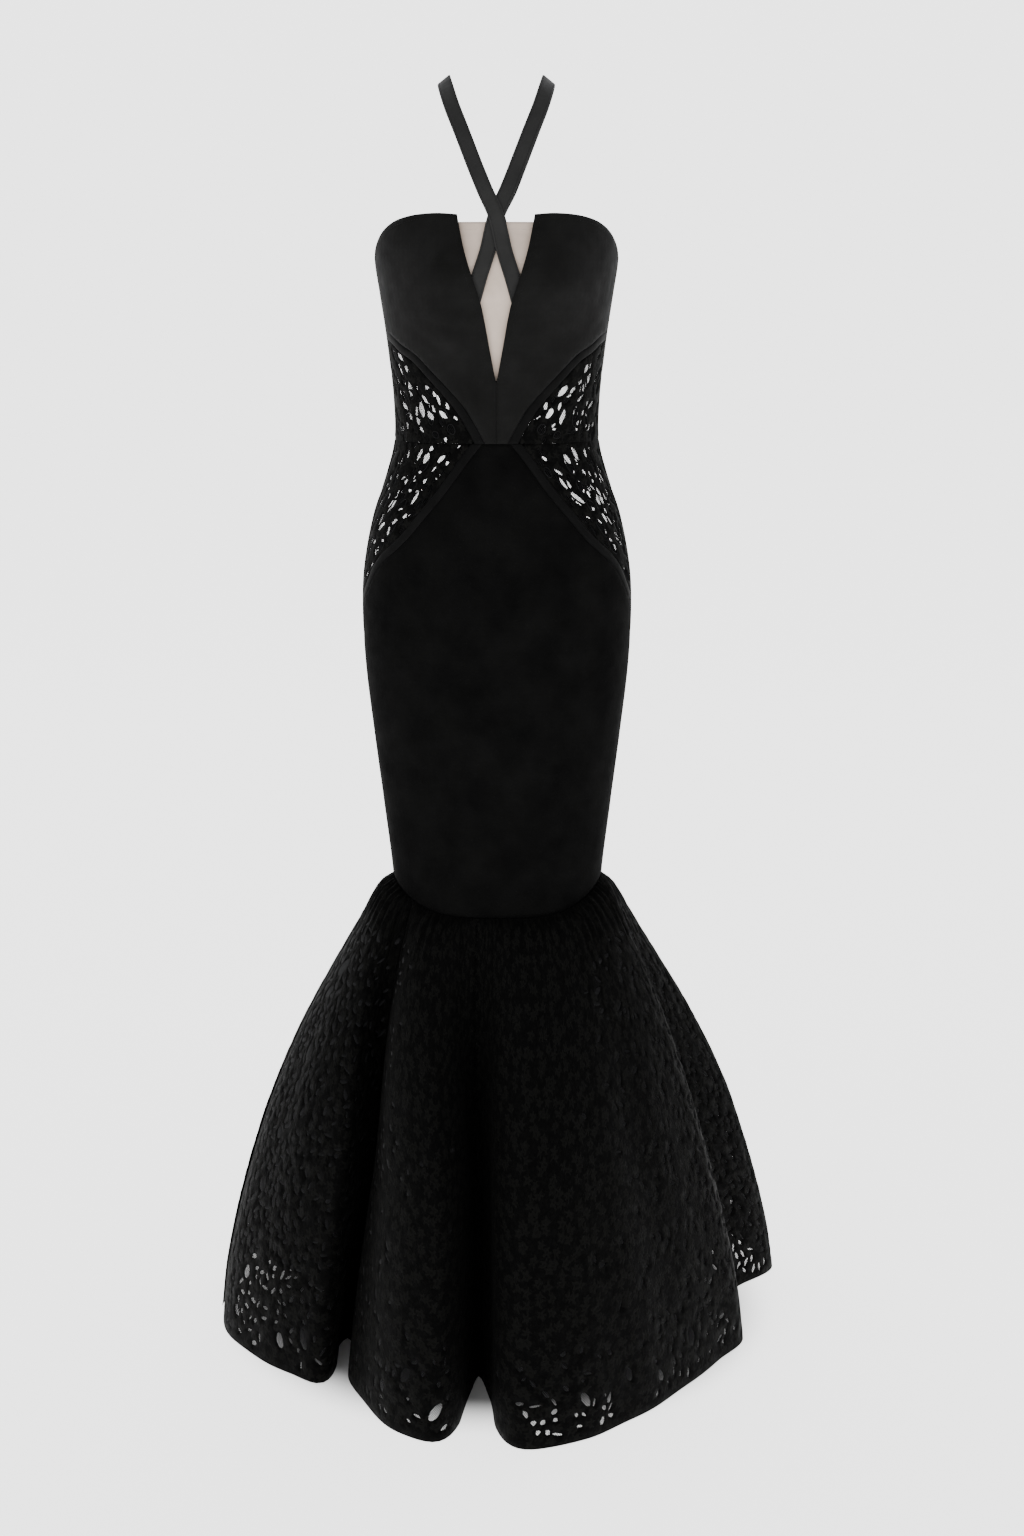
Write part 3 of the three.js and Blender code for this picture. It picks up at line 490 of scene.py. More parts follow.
def inside_loops(points: Array, loops: list[Array]) -> Array:
    """True for the points inside an odd number of closed loops.

    Args:
        points: places to test.
        loops: closed outlines, a border and the holes in it.

    Returns:
        One flag a place.
    """
    start = np.vstack(loops)
    end = np.vstack([np.roll(loop, -1, axis=0) for loop in loops])
    flags = np.zeros(len(points), bool)
    for first in range(0, len(points), AT_A_TIME):
        x = points[first : first + AT_A_TIME, 0, None]
        y = points[first : first + AT_A_TIME, 1, None]
        crosses = (start[:, 1] > y) != (end[:, 1] > y)
        rise = np.where(end[:, 1] == start[:, 1], 1.0, end[:, 1] - start[:, 1])
        at = start[:, 0] + (y - start[:, 1]) / rise * (end[:, 0] - start[:, 0])
        flags[first : first + AT_A_TIME] = (crosses & (x < at)).sum(axis=1) % 2 == 1
    return flags


def distance_to(points: Array, loops: list[Array]) -> Array:
    """Distance from each point to the nearest of the loops' sides.

    Args:
        points: places to measure from.
        loops: closed outlines.

    Returns:
        One distance a place.
    """
    start = np.vstack(loops)
    side = np.vstack([np.roll(loop, -1, axis=0) for loop in loops]) - start
    length = np.maximum((side**2).sum(axis=1), 1e-9)
    near = np.empty(len(points))
    for first in range(0, len(points), AT_A_TIME):
        gap = points[first : first + AT_A_TIME, None] - start
        share = np.clip((gap * side).sum(axis=2) / length, 0, 1)
        near[first : first + AT_A_TIME] = np.linalg.norm(gap - share[..., None] * side, axis=2).min(axis=1)
    return near


def seam_relief(near: Array, ridge: tuple[float, float, float], groove: tuple[float, float]) -> Array:
    """Height of a cloth beside a seam or an edge.

    Args:
        near: distances from the seam.
        ridge: height, distance from the seam and width of the ridge over the allowance.
        groove: depth and width of the groove on the seam.

    Returns:
        Heights in millimetres.
    """
    tall, away, wide = ridge
    deep, narrow = groove
    return tall * np.exp(-(((near - away) / wide) ** 2)) - deep * np.exp(-((near / narrow) ** 2))


def resampled(loop: Array, step: float) -> Array:
    """Closed outline with points at most a step apart, its corners kept.

    Args:
        loop: the outline's corners.
        step: the largest distance between two points.

    Returns:
        The outline.
    """
    parts = []
    for a, b in zip(loop, np.roll(loop, -1, axis=0)):
        count = max(1, math.ceil(np.linalg.norm(b - a) / step))
        parts.append(a + (b - a) * (np.arange(count) / count)[:, None])
    return np.vstack(parts)


@dataclass
class Cloth:
    """A thin closed shell of cloth over an outline with holes, laid on a surface.

    Args:
        name: name of the piece.
        border: closed outline in the cloth's plane, in millimetres.
        surface: function from places in the plane to points and outward directions.
        thick: thickness in millimetres.
        holes: closed outlines of the gaps cut through it.
        inset: how far its outer face lies behind the surface.
        step: distance between points inside.
        edge_step: distance between points on the border.
        creases: soft troughs and ridges.
        hem: width of the turned edge, 0 for none.
        relief: further height of the outer face at each place, if any.
        strip: width of the cut in millimetres, where it is a narrow strip.
        area: area of the cloth in square millimetres, known once it is built.
    """

    name: str
    border: Array
    surface: Surface
    thick: float
    holes: list[Array] = field(default_factory=list)
    inset: float = 0.0
    step: float = 5.0
    edge_step: float = 4.0
    creases: tuple[Crease, ...] = ()
    hem: float = 0.0
    relief: Callable[[Array], Array] | None = None
    strip: float = 0.0
    area: float = 0.0

    def places(self) -> tuple[Array, list[tuple[int, int, int]]]:
        """Points in the plane and the triangles between them.

        Returns:
            The places, and triples of their numbers.
        """
        loops = [resampled(self.border, self.edge_step)] + self.holes
        low, high = self.border.min(axis=0), self.border.max(axis=0)
        rows = np.arange(low[1] + 0.3 * self.step, high[1], self.step * 0.87)
        columns = np.arange(low[0] + 0.3 * self.step, high[0], self.step)
        grid = np.array([
            (x + (0.5 * self.step if j % 2 else 0.0), y) for j, y in enumerate(rows) for x in columns
        ])
        grid = grid[inside_loops(grid, loops)]
        grid = grid[distance_to(grid, loops) > 0.45 * self.step]
        edges, count = [], 0
        for loop in loops:
            numbers = np.arange(len(loop)) + count
            edges += list(zip(numbers.tolist(), np.roll(numbers, -1).tolist()))
            count += len(loop)
        flat = [Vector(p) for p in np.vstack(loops + [grid]).tolist()]
        points, _, faces, _, _, _ = delaunay_2d_cdt(flat, edges, [], 0, 1e-5, False)
        places = np.array([(p.x, p.y) for p in points])
        faces = np.array([tuple(face) for face in faces])
        faces = faces[inside_loops(places[faces].mean(axis=1), loops)]
        return places, faces

    def shape(self, places: Array) -> tuple[Array, Array]:
        """Outer points of the cloth with its creases, and the outward directions.

        Args:
            places: places in the plane.

        Returns:
            The points and the directions.
        """
        points, out = self.surface(places)
        height = np.full(len(places), -self.inset)
        for crease in self.creases:
            height -= crease.depth_at(places)
        if self.hem:
            near = distance_to(places, [self.border])
            height += 0.35 * smoothstep(self.hem - near, -0.6, 0.6)
        if self.relief is not None:
            height += self.relief(places)
        return points + out * height[:, None], out

    def build(self) -> bpy.types.Object:
        """Makes the shell.

        Returns:
            The object, with its places in the cloth as a UV map.
        """
        places, faces = self.places()
        outer, out = self.shape(places)
        ab, ac = outer[faces[:, 1]] - outer[faces[:, 0]], outer[faces[:, 2]] - outer[faces[:, 0]]
        inward = (np.cross(ab, ac) * out[faces[:, 0]]).sum(axis=1) < 0
        self.area = float(np.linalg.norm(np.cross(ab, ac), axis=1).sum() / 2)
        faces[inward] = faces[inward][:, [0, 2, 1]]
        sides = {(int(f[k]), int(f[(k + 1) % 3])) for f in faces for k in range(3)}
        rim = [(a, b) for a, b in sides if (b, a) not in sides]
        on_rim = np.zeros(len(places))
        on_rim[[a for a, _ in rim]] = 1
        sink = out * (on_rim * 0.28 * self.thick)[:, None]
        inner = outer - out * self.thick + sink
        points = np.vstack([outer - sink, inner])
        count = len(places)
        every = [tuple(f) for f in faces.tolist()]
        every += [(a + count, c + count, b + count) for a, b, c in faces.tolist()]
        every += [(b, a, a + count, b + count) for a, b in rim]
        return make_object(self.name, points, every, np.vstack([places, places]))

    def flat_size(self) -> tuple[float, float, float]:
        """Size of the cut as it lies flat.

        Returns:
            The width, the length and the area, in metres and square metres.
        """
        area = self.area * MM * MM
        if self.strip:
            return self.strip * MM, area / (self.strip * MM), area
        low, high = self.border.min(axis=0), self.border.max(axis=0)
        sizes = []
        for axis in (0, 1):
            best = 0.0
            for share in np.linspace(0.04, 0.96, 13):
                line = np.tile(low + (high - low) * share, (120, 1))
                line[:, axis] = np.linspace(low[axis], high[axis], 120)
                line = line[inside_loops(line, [self.border])]
                if len(line) > 1:
                    points = self.shape(line)[0]
                    best = max(best, np.linalg.norm(np.diff(points, axis=0), axis=1).sum())
            sizes.append((best + 2) * MM)
        return sizes[0], sizes[1], min(area, sizes[0] * sizes[1])


def make_object(
    name: str, points: Array, faces: list[tuple[int, ...]], places: Array | None = None
) -> bpy.types.Object:
    """Smooth mesh object from points in millimetres.

    Args:
        name: name of the object.
        points: the points.
        faces: tuples of point numbers.
        places: places in the cloth for a UV map, if any.

    Returns:
        The object, linked to the scene.
    """
    mesh = bpy.data.meshes.new(name)
    mesh.from_pydata((np.asarray(points) * MM).tolist(), [], faces)
    mesh.polygons.foreach_set("use_smooth", [True] * len(mesh.polygons))
    if places is not None:
        corners = np.empty(len(mesh.loops), np.int32)
        mesh.loops.foreach_get("vertex_index", corners)
        layer = mesh.uv_layers.new(name="cloth")
        layer.data.foreach_set("uv", (places[corners] * UV_PER_MM).astype(np.float32).ravel())
    mesh.update()
    thing = bpy.data.objects.new(name, mesh)
    bpy.context.scene.collection.objects.link(thing)
    return thing


@dataclass
class Threads:
    """Many thin threads as small tubes in one mesh.

    Args:
        name: name of the piece.
        width: thickness of a thread in millimetres.
        sides: sides of its section.
        lines: middle lines of the threads, added one by one.
        outs: outward directions along them.
    """

    name: str
    width: float
    sides: int = 3
    lines: list[Array] = field(default_factory=list)
    outs: list[Array] = field(default_factory=list)

    def add(self, line: Array, out: Array) -> None:
        """Adds one thread.

        Args:
            line: its middle line.
            out: outward direction at each of its points.
        """
        self.lines.append(line)
        self.outs.append(out)

    def build(self) -> bpy.types.Object:
        """Makes the mesh of all the threads.

        Returns:
            The object.
        """
        points, faces, places, count = [], [], [], 0
        turns = np.arange(self.sides) / self.sides * 2 * math.pi
        for line, out in zip(self.lines, self.outs):
            along = unit(np.gradient(line, axis=0))
            aside = unit(np.cross(along, out))
            ring = aside[:, None] * np.cos(turns)[:, None] + out[:, None] * np.sin(turns)[:, None]
            points.append((line[:, None] + ring * self.width / 2).reshape(-1, 3))
            n, m = len(line), self.sides
            for j in range(n - 1):
                for k in range(m):
                    a, b = count + j * m + k, count + j * m + (k + 1) % m
                    faces.append((a, b, b + m, a + m))
            faces.append(tuple(range(count + m - 1, count - 1, -1)))
            faces.append(tuple(range(count + (n - 1) * m, count + n * m)))
            count += n * m
            run = np.concatenate([[0], np.cumsum(np.linalg.norm(np.diff(line, axis=0), axis=1))])
            places.append(np.column_stack([np.repeat(run, m), np.tile(turns, n)]))
        return make_object(self.name, np.vstack(points), faces, np.vstack(places))


@dataclass(frozen=True)
class Gap:
    """A gap between lace flowers, in the cloth's plane.

    Args:
        across: place round the body.
        z: height.
        long: length.
        wide: width.
        lean: degrees from upright.
    """

    across: float
    z: float
    long: float
    wide: float
    lean: float

    def outline(self, number: int, corners: int = 5) -> Array:
        """Leaf-shaped outline, uneven as the gaps between lace flowers are.

        Args:
            number: picks the unevenness.
            corners: corners of the outline; with more than 5 the same form is smooth.

        Returns:
            The outline's corners.
        """
        place = np.arange(corners) / corners * 5
        low = np.floor(place).astype(int)
        share = smoothstep(place - low, 0, 1)
        swell = 0.8 + 0.25 * (
            (1 - share) * scatter(number, low % 5) + share * scatter(number, (low + 1) % 5)
        )
        turn = place / 5 * 2 * math.pi
        along = self.long / 2 * np.cos(turn) * swell
        aside = self.wide / 2 * np.sin(turn) * swell * 1.1
        if corners > 5:
            aside *= 1 - 0.14 * np.cos(turn) ** 2 + 0.06 * np.cos(3 * turn + number)
        lean = math.radians(self.lean)
        return np.column_stack([
            self.across + along * math.sin(lean) + aside * math.cos(lean),
            self.z + along * math.cos(lean) - aside * math.sin(lean),
        ])


def apart(kept: list[Array], outline: Array, bridge: float) -> bool:
    """True if an outline keeps a bridge of lace to all those that are there already.

    Args:
        kept: outlines that are there.
        outline: the new outline.
        bridge: the least distance between two of their points.

    Returns:
        True where it fits.
    """
    middle = outline[0]
    near = [o for o in kept if abs(o[0, 0] - middle[0]) < 60 and abs(o[0, 1] - middle[1]) < 60]
    if not near:
        return True
    return bool((np.linalg.norm(np.vstack(near)[:, None] - outline, axis=2) > bridge).all())


def fitting_gaps(
    gaps: list[Gap], border: Array, start: int, kept: list[Array], margin: float, bridge: float
) -> list[tuple[Gap, int]]:
    """Gaps that fit a border, each made smaller or left out where it doesn't.

    Args:
        gaps: the gaps wished for.
        border: closed outline they lie in.
        start: number of the first one.
        kept: outlines that are there already; the new ones are added.
        margin: lace left between a gap and the border.
        bridge: lace left between two gaps.

    Returns:
        The gaps that fit with their numbers.
    """
    found = []
    for k, gap in enumerate(gaps):
        for size in GAP_SIZES:
            wide = max(min(LEAST_GAP, gap.wide), gap.wide * size)
            small = Gap(gap.across, gap.z, gap.long * size, wide, gap.lean)
            outline = small.outline(start + k)
            grown = resampled(outline, 1.6)
            if not (distance_to(outline, [border]) >= margin).all():
                continue
            if inside_loops(outline, [border]).all() and apart(kept, grown, bridge):
                kept.append(grown)
                found.append((small, start + k))
                break
    return found


@dataclass(frozen=True)
class Net:
    """The fine net that shows in the gaps of the lace."""

    spacing: float = 1.9
    width: float = 0.42
    leans: tuple[float, ...] = (32.0, -32.0)
    reach: float = 0.7

    def lay(self, threads: Threads, holes: list[Array], surface: Surface, depth: float) -> None:
        """Lays threads across gaps.

        Args:
            threads: where they are added.
            holes: outlines of the gaps.
            surface: function from places to points and outward directions.
            depth: how far behind the surface they lie.
        """
        runs = []
        for hole in holes:
            ends = np.roll(hole, -1, axis=0)
            for lean in self.leans:
                along = np.array([math.sin(math.radians(lean)), math.cos(math.radians(lean))])
                aside = np.array([along[1], -along[0]])
                a, b = hole @ aside, ends @ aside
                first = math.ceil(a.min() / self.spacing)
                for k in range(first, math.floor(a.max() / self.spacing) + 1):
                    level = k * self.spacing
                    cut = (a > level) != (b > level)
                    share = (level - a[cut]) / (b[cut] - a[cut])
                    at = np.sort((hole[cut] + (ends[cut] - hole[cut]) * share[:, None]) @ along)
                    for low, high in zip(at[0::2], at[1::2]):
                        run = np.linspace(low - self.reach, high + self.reach, 3)
                        runs.append(aside * level + along * run[:, None])
        points, out = surface(np.vstack(runs))
        lines = (points - out * depth).reshape(-1, 3, 3)
        for line, facing in zip(lines, out.reshape(-1, 3, 3)):
            threads.add(line, facing)


class Graph:
    """Node material built step by step."""

    def __init__(self, name: str, **shader: float | tuple[float, ...]) -> None:
        """Starts a material with its main shader.

        Args:
            name: name of the material.
            shader: values of the main shader that are the same everywhere.
        """
        self.material = bpy.data.materials.new(name)
        self.material.use_nodes = True
        self.tree = self.material.node_tree
        self.shader = self.tree.nodes["Principled BSDF"]
        for key, value in shader.items():
            self.shader.inputs[key.replace("_", " ")].default_value = value

    def add(self, kind: str, **values: object) -> bpy.types.Node:
        """Adds a node.

        Args:
            kind: kind of the node, without the word ShaderNode.
            values: properties, or inputs by name with underscores for spaces.

        Returns:
            The node.
        """
        node = self.tree.nodes.new("ShaderNode" + kind)
        for key, value in values.items():
            name = key.replace("_", " ")
            if key in node.bl_rna.properties and key not in node.inputs:
                setattr(node, key, value)
            elif isinstance(value, bpy.types.NodeSocket):
                self.tree.links.new(value, node.inputs[name])
            else:
                node.inputs[name].default_value = value
        return node

    def math(self, operation: str, a: object, b: object = 0.0, c: object = 0.0) -> bpy.types.NodeSocket:
        """Adds a sum of sockets or numbers.

        Args:
            operation: name of the operation.
            a: first value.
            b: second value.
            c: third value.

        Returns:
            The result.
        """
        node = self.tree.nodes.new("ShaderNodeMath")
        node.operation = operation
        for place, value in enumerate((a, b, c)):
            if isinstance(value, bpy.types.NodeSocket):
                self.tree.links.new(value, node.inputs[place])
            else:
                node.inputs[place].default_value = value
        return node.outputs[0]

    def places(self) -> bpy.types.NodeSocket:
        """Places in the cloth, in tens of centimetres."""
        return self.add("UVMap", uv_map="cloth").outputs["UV"]

    def noise(self, scale: float, detail: float = 3.0) -> bpy.types.NodeSocket:
        """Soft random variation over the object."""
        where = self.add("TexCoord").outputs["Object"]
        return self.add("TexNoise", Vector=where, Scale=scale, Detail=detail).outputs["Fac"]

    def between(self, value: bpy.types.NodeSocket, low: float, high: float) -> bpy.types.NodeSocket:
        """Value from 0.3 to 0.7 moved to a range."""
        node = self.add("MapRange", Value=value, From_Min=0.3, From_Max=0.7, To_Min=low, To_Max=high)
        return node.outputs["Result"]

    def colour(
        self, value: bpy.types.NodeSocket, dark: tuple[float, ...], light: tuple[float, ...]
    ) -> None:
        """Gives the shader a colour between two.

        Args:
            value: 0 for the dark one, 1 for the light one.
            dark: the dark colour.
            light: the light colour.
        """
        ramp = self.add("ValToRGB", Fac=value)
        ramp.color_ramp.elements[0].color = (*dark, 1)
        ramp.color_ramp.elements[1].color = (*light, 1)
        self.tree.links.new(ramp.outputs["Color"], self.shader.inputs["Base Color"])

    def set(self, name: str, value: bpy.types.NodeSocket) -> None:
        """Links a value to an input of the shader."""
        self.tree.links.new(value, self.shader.inputs[name])

    def weave(self, spacing: float) -> bpy.types.NodeSocket:
        """Height of a fine weave.

        Args:
            spacing: distance between its threads in millimetres.

        Returns:
            The height, 0 to 1.
        """
        where = self.places()
        heights = []
        for direction in ("X", "Y"):
            wave = self.add(
                "TexWave", bands_direction=direction, wave_profile="SIN", Vector=where,
                Scale=100 / spacing / 20, Distortion=0.4, Detail=1.0,
            )
            heights.append(wave.outputs["Fac"])
        return self.math("MAXIMUM", *heights)

    def uneven(self, size: float) -> bpy.types.NodeSocket:
        """Places in the cloth, pushed about so that no two flowers are alike.

        Args:
            size: distance between flowers in millimetres.

        Returns:
            The places.
        """
        noise = self.add("TexNoise", Vector=self.places(), Scale=130 / size, Detail=2.0)
        push = self.add("VectorMath", operation="MULTIPLY_ADD")
        self.tree.links.new(noise.outputs["Color"], push.inputs[0])
        push.inputs[1].default_value = (size * 0.008,) * 3
        self.tree.links.new(self.places(), push.inputs[2])
        return push.outputs[0]

    def flowers(self, size: float, petals: int = 5) -> bpy.types.NodeSocket:
        """Height of scattered flowers, 1 on their petals and 0 between them.

        Args:
            size: distance between flowers in millimetres.
            petals: petals of each flower.

        Returns:
            The height.
        """
        where = self.uneven(size)
        cells = self.add("TexVoronoi", voronoi_dimensions="2D", Vector=where, Scale=100 / size)
        away = self.add("VectorMath", operation="SUBTRACT")
        self.tree.links.new(where, away.inputs[0])
        self.tree.links.new(cells.outputs["Position"], away.inputs[1])
        parts = self.add("SeparateXYZ", Vector=away.outputs[0])
        angle = self.math("ARCTAN2", parts.outputs["Y"], parts.outputs["X"])
        wave = self.math("COSINE", self.math("MULTIPLY", angle, float(petals)))
        edge = self.math("MULTIPLY_ADD", wave, 0.11, 0.38)
        inside = self.math("SUBTRACT", edge, cells.outputs["Distance"])
        petal = self.add(
            "MapRange", interpolation_type="SMOOTHSTEP", Value=inside,
            From_Min=-0.02, From_Max=0.07, To_Min=0.0, To_Max=1.0,
        ).outputs["Result"]
        heart = self.add(
            "MapRange", interpolation_type="SMOOTHSTEP", Value=cells.outputs["Distance"],
            From_Min=0.05, From_Max=0.13, To_Min=0.45, To_Max=1.0,
        ).outputs["Result"]
        return self.math("MULTIPLY", petal, heart)

    def bump(self, *layers: tuple[bpy.types.NodeSocket, float]) -> None:
        """Gives the shader relief.

        Args:
            layers: heights with how tall each is in millimetres.
        """
        total: object = 0.0
        for height, tall in layers:
            total = self.math("MULTIPLY_ADD", height, tall, total)
        node = self.add("Bump", Height=total, Distance=MM, Strength=1.0)
        self.set("Normal", node.outputs["Normal"])


@dataclass(frozen=True)
class Knit:
    """Matt stretch knit, with very faint flowers woven in.

    Args:
        name: name of the material.
        dark: colour in the dark parts.
        light: colour in the light parts.
        flowers: how tall the woven flowers stand, in millimetres.
        sheen: strength of its sheen.
        shine: strength of its reflections.
    """

    name: str
    dark: tuple[float, float, float] = (0.004, 0.004, 0.0045)
    light: tuple[float, float, float] = (0.010, 0.010, 0.011)
    flowers: float = 0.05
    sheen: float = 0.12
    shine: float = 0.18

    def material(self) -> bpy.types.Material:
        """Builds the node material.

        Returns:
            The material.
        """
        graph = Graph(
            self.name, Specular_IOR_Level=self.shine, Sheen_Weight=self.sheen, Sheen_Roughness=0.45,
            Sheen_Tint=(0.7, 0.7, 0.75, 1),
        )
        cloud = graph.noise(22)
        graph.colour(graph.between(cloud, 0, 1), self.dark, self.light)
        graph.set("Roughness", graph.between(graph.noise(60), 0.78, 0.95))
        graph.bump(
            (graph.weave(1.1), 0.07), (graph.flowers(34, 5), self.flowers), (graph.noise(170, 4), 0.12),
        )
        return graph.material


@dataclass(frozen=True)
class Lace:
    """Corded lace: flowers that stand out of a fine net ground.

    Args:
        name: name of the material.
        size: distance between flowers in millimetres.
        tall: how tall they stand in millimetres.
        dark: colour between the flowers.
        light: colour of the flowers.
    """

    name: str
    size: float = 19
    tall: float = 0.5
    dark: tuple[float, float, float] = (0.0012, 0.0012, 0.0012)
    light: tuple[float, float, float] = (0.0036, 0.0036, 0.0033)

    def material(self) -> bpy.types.Material:
        """Builds the node material.

        Returns:
            The material.
        """
        graph = Graph(self.name, Specular_IOR_Level=0.022, Sheen_Weight=0.004, Sheen_Roughness=0.5)
        petals = graph.flowers(self.size, 5)
        small = graph.flowers(self.size * 0.45, 4)
        graph.colour(graph.math("MULTIPLY_ADD", small, 0.3, petals), self.dark, self.light)
        graph.set("Roughness", graph.between(graph.noise(80), 0.6, 0.85))
        graph.bump(
            (petals, self.tall), (small, self.tall * 0.5), (graph.weave(1.6), 0.16),
            (graph.noise(120, 4), 0.15),
        )
        return graph.material


@dataclass(frozen=True)
class Plain:
    """Plain cloth with a fine weave: bands, lining, nude mesh or thread.

    Args:
        name: name of the material.
        dark: colour in the dark parts.
        light: colour in the light parts.
        rough: roughness.
        spacing: distance between its threads in millimetres.
        shine: strength of its reflections.
        deep: depth of its weave in millimetres.
    """

    name: str
    dark: tuple[float, float, float]
    light: tuple[float, float, float]
    rough: float = 0.6
    spacing: float = 0.8
    shine: float = 0.3
    deep: float = 0.05

    def material(self) -> bpy.types.Material:
        """Builds the node material.

        Returns:
            The material.
        """
        graph = Graph(self.name, Specular_IOR_Level=self.shine, Sheen_Weight=0.015)
        graph.colour(graph.between(graph.noise(35), 0, 1), self.dark, self.light)
        graph.set("Roughness", graph.between(graph.noise(90), self.rough - 0.06, self.rough + 0.06))
        graph.bump((graph.weave(self.spacing), self.deep), (graph.noise(200, 3), 0.06))
        return graph.material


class Slot(Enum):
    """Material slots of the part."""

    KNIT = "knit"
    LACE = "lace"
    BAND = "band"
    MESH = "mesh"
    LINING = "lining"


class Held(Enum):
    """How a cloth is held."""

    STRETCHED = "stretched"
    HUNG = "hung"
    GATHERED = "gathered"


@dataclass
class Wardrobe:
    """Materials by name, each made once, and the way every piece is handed to the frame."""

    made: dict[str, bpy.types.Material] = field(default_factory=dict)

    def dress(self, thing: bpy.types.Object, finish: Knit | Lace | Plain, slot: Slot | None) -> None:
        """Gives a piece its material and lets it ride on the gown.

        Args:
            thing: the piece.
            finish: its look.
            slot: its slot in the part, if it stands in for a solid; not used.
        """
        if finish.name not in self.made:
            self.made[finish.name] = finish.material()
        thing.data.materials.append(self.made[finish.name])
        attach(thing, "root")
        log.info("%s: %d faces, %s", thing.name, len(thing.data.polygons), finish.name)

    def sew(
        self, cloth: Cloth, node: str, finish: Knit | Lace | Plain, slot: Slot, held: Held,
        pieces: tuple[bpy.types.Object, ...] = (), fuller: float = 1.0,
    ) -> bpy.types.Object:
        """Makes a cloth piece in place of a solid and states its cut.

        Args:
            cloth: the piece.
            node: the solid it stands in for.
            finish: its look.
            slot: its slot.
            held: how it is held; not used.
            pieces: separate pieces on it; not used.
            fuller: flat width over worn width, more than 1 where it is gathered.

        Returns:
            The piece.
        """
        thing = cloth.build()
        self.dress(thing, finish, slot)
        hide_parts(node)
        width, length, area = cloth.flat_size()
        log.info("%s: cut %.3f by %.3f m, %.4f m2", cloth.name, width * fuller, length, area * fuller)
        return thing


# One black knit in three copies: the bodice copy, also used on the upper side panels, and the strap copy are
# painted lighter than the skirt copy, as painted light falling on the top of the gown.
KNIT_BODICE_PAINTED_LIT = Knit("bodice knit", (0.0038, 0.0038, 0.0036), (0.006, 0.006, 0.0058), 0.03, 0.02, 0.06)
KNIT_SKIRT = Knit("skirt knit", (0.0018, 0.0018, 0.0018), (0.0034, 0.0034, 0.0033), 0.06, 0.004, 0.02)
KNIT_STRAP_PAINTED_LIT = Knit("strap knit", (0.012, 0.012, 0.0118), (0.018, 0.018, 0.0176), 0.0, 0.08, 0.14)
LACE_INSET = Lace("inset lace", 12, 0.45)
LACE_FLARE = Lace("flare lace", 15, 0.55)
BAND = Plain("band", (0.002, 0.002, 0.002), (0.0034, 0.0034, 0.0034), 0.66, 0.9, 0.03)
LINING = Plain("lining", (0.0016, 0.0016, 0.0018), (0.0032, 0.0032, 0.0036), 0.6, 0.5, 0.06, 0.02)
NUDE = Plain("nude mesh", (0.43, 0.35, 0.29), (0.52, 0.43, 0.365), 0.82, 1.1, 0.15, 0.06)
THREAD = Plain("thread", (0.003, 0.003, 0.0035), (0.007, 0.007, 0.0075), 0.6, 0.5, 0.1, 0.02)
NUDE_THREAD = Plain("nude thread", (0.40, 0.36, 0.32), (0.50, 0.45, 0.40), 0.7, 0.5, 0.2, 0.02)


@dataclass(frozen=True)
class Stitches:
    """A row of small stitches."""

    long: float = 2.6
    pitch: float = 3.6
    width: float = 0.5

    def along(self, threads: Threads, line: Array, surface: Surface, height: float) -> None:
        """Sews stitches along a line in the cloth's plane.

        Args:
            threads: where they are added.
            line: the line's places.
            surface: function from places to points and outward directions.
            height: how far they lie outside the surface.
        """
        points = surface(line)[0]
        run = np.concatenate([[0], np.cumsum(np.linalg.norm(np.diff(points, axis=0), axis=1))])
        for start in np.arange(self.pitch / 2, run[-1] - self.long, self.pitch):
            at = np.linspace(start, start + self.long, 3)
            places = np.column_stack([np.interp(at, run, line[:, 0]), np.interp(at, run, line[:, 1])])
            points, out = surface(places)
            arch = np.array([-0.15, 0.12, -0.15])
            threads.add(points + out * (height + arch)[:, None], out)


def seam_tape(
    name: str, line: Array, surface: Surface, depth: float, half: float = 3.0
) -> bpy.types.Object:
    """Makes the turned allowance behind a seam, as a narrow strip.

    Args:
        name: name of the piece.
        line: the seam's places in the cloth's plane.
        surface: function from places to points and outward directions.
        depth: how far behind the surface it lies, in millimetres.
        half: half its width.

    Returns:
        The strip.
    """
    along = unit(np.gradient(line, axis=0))
    aside = np.column_stack([along[:, 1], -along[:, 0]]) * half
    border = np.vstack([line + aside, (line - aside)[::-1]])
    return Cloth(name, border, surface, 0.5, inset=depth, step=3, edge_step=4).build()


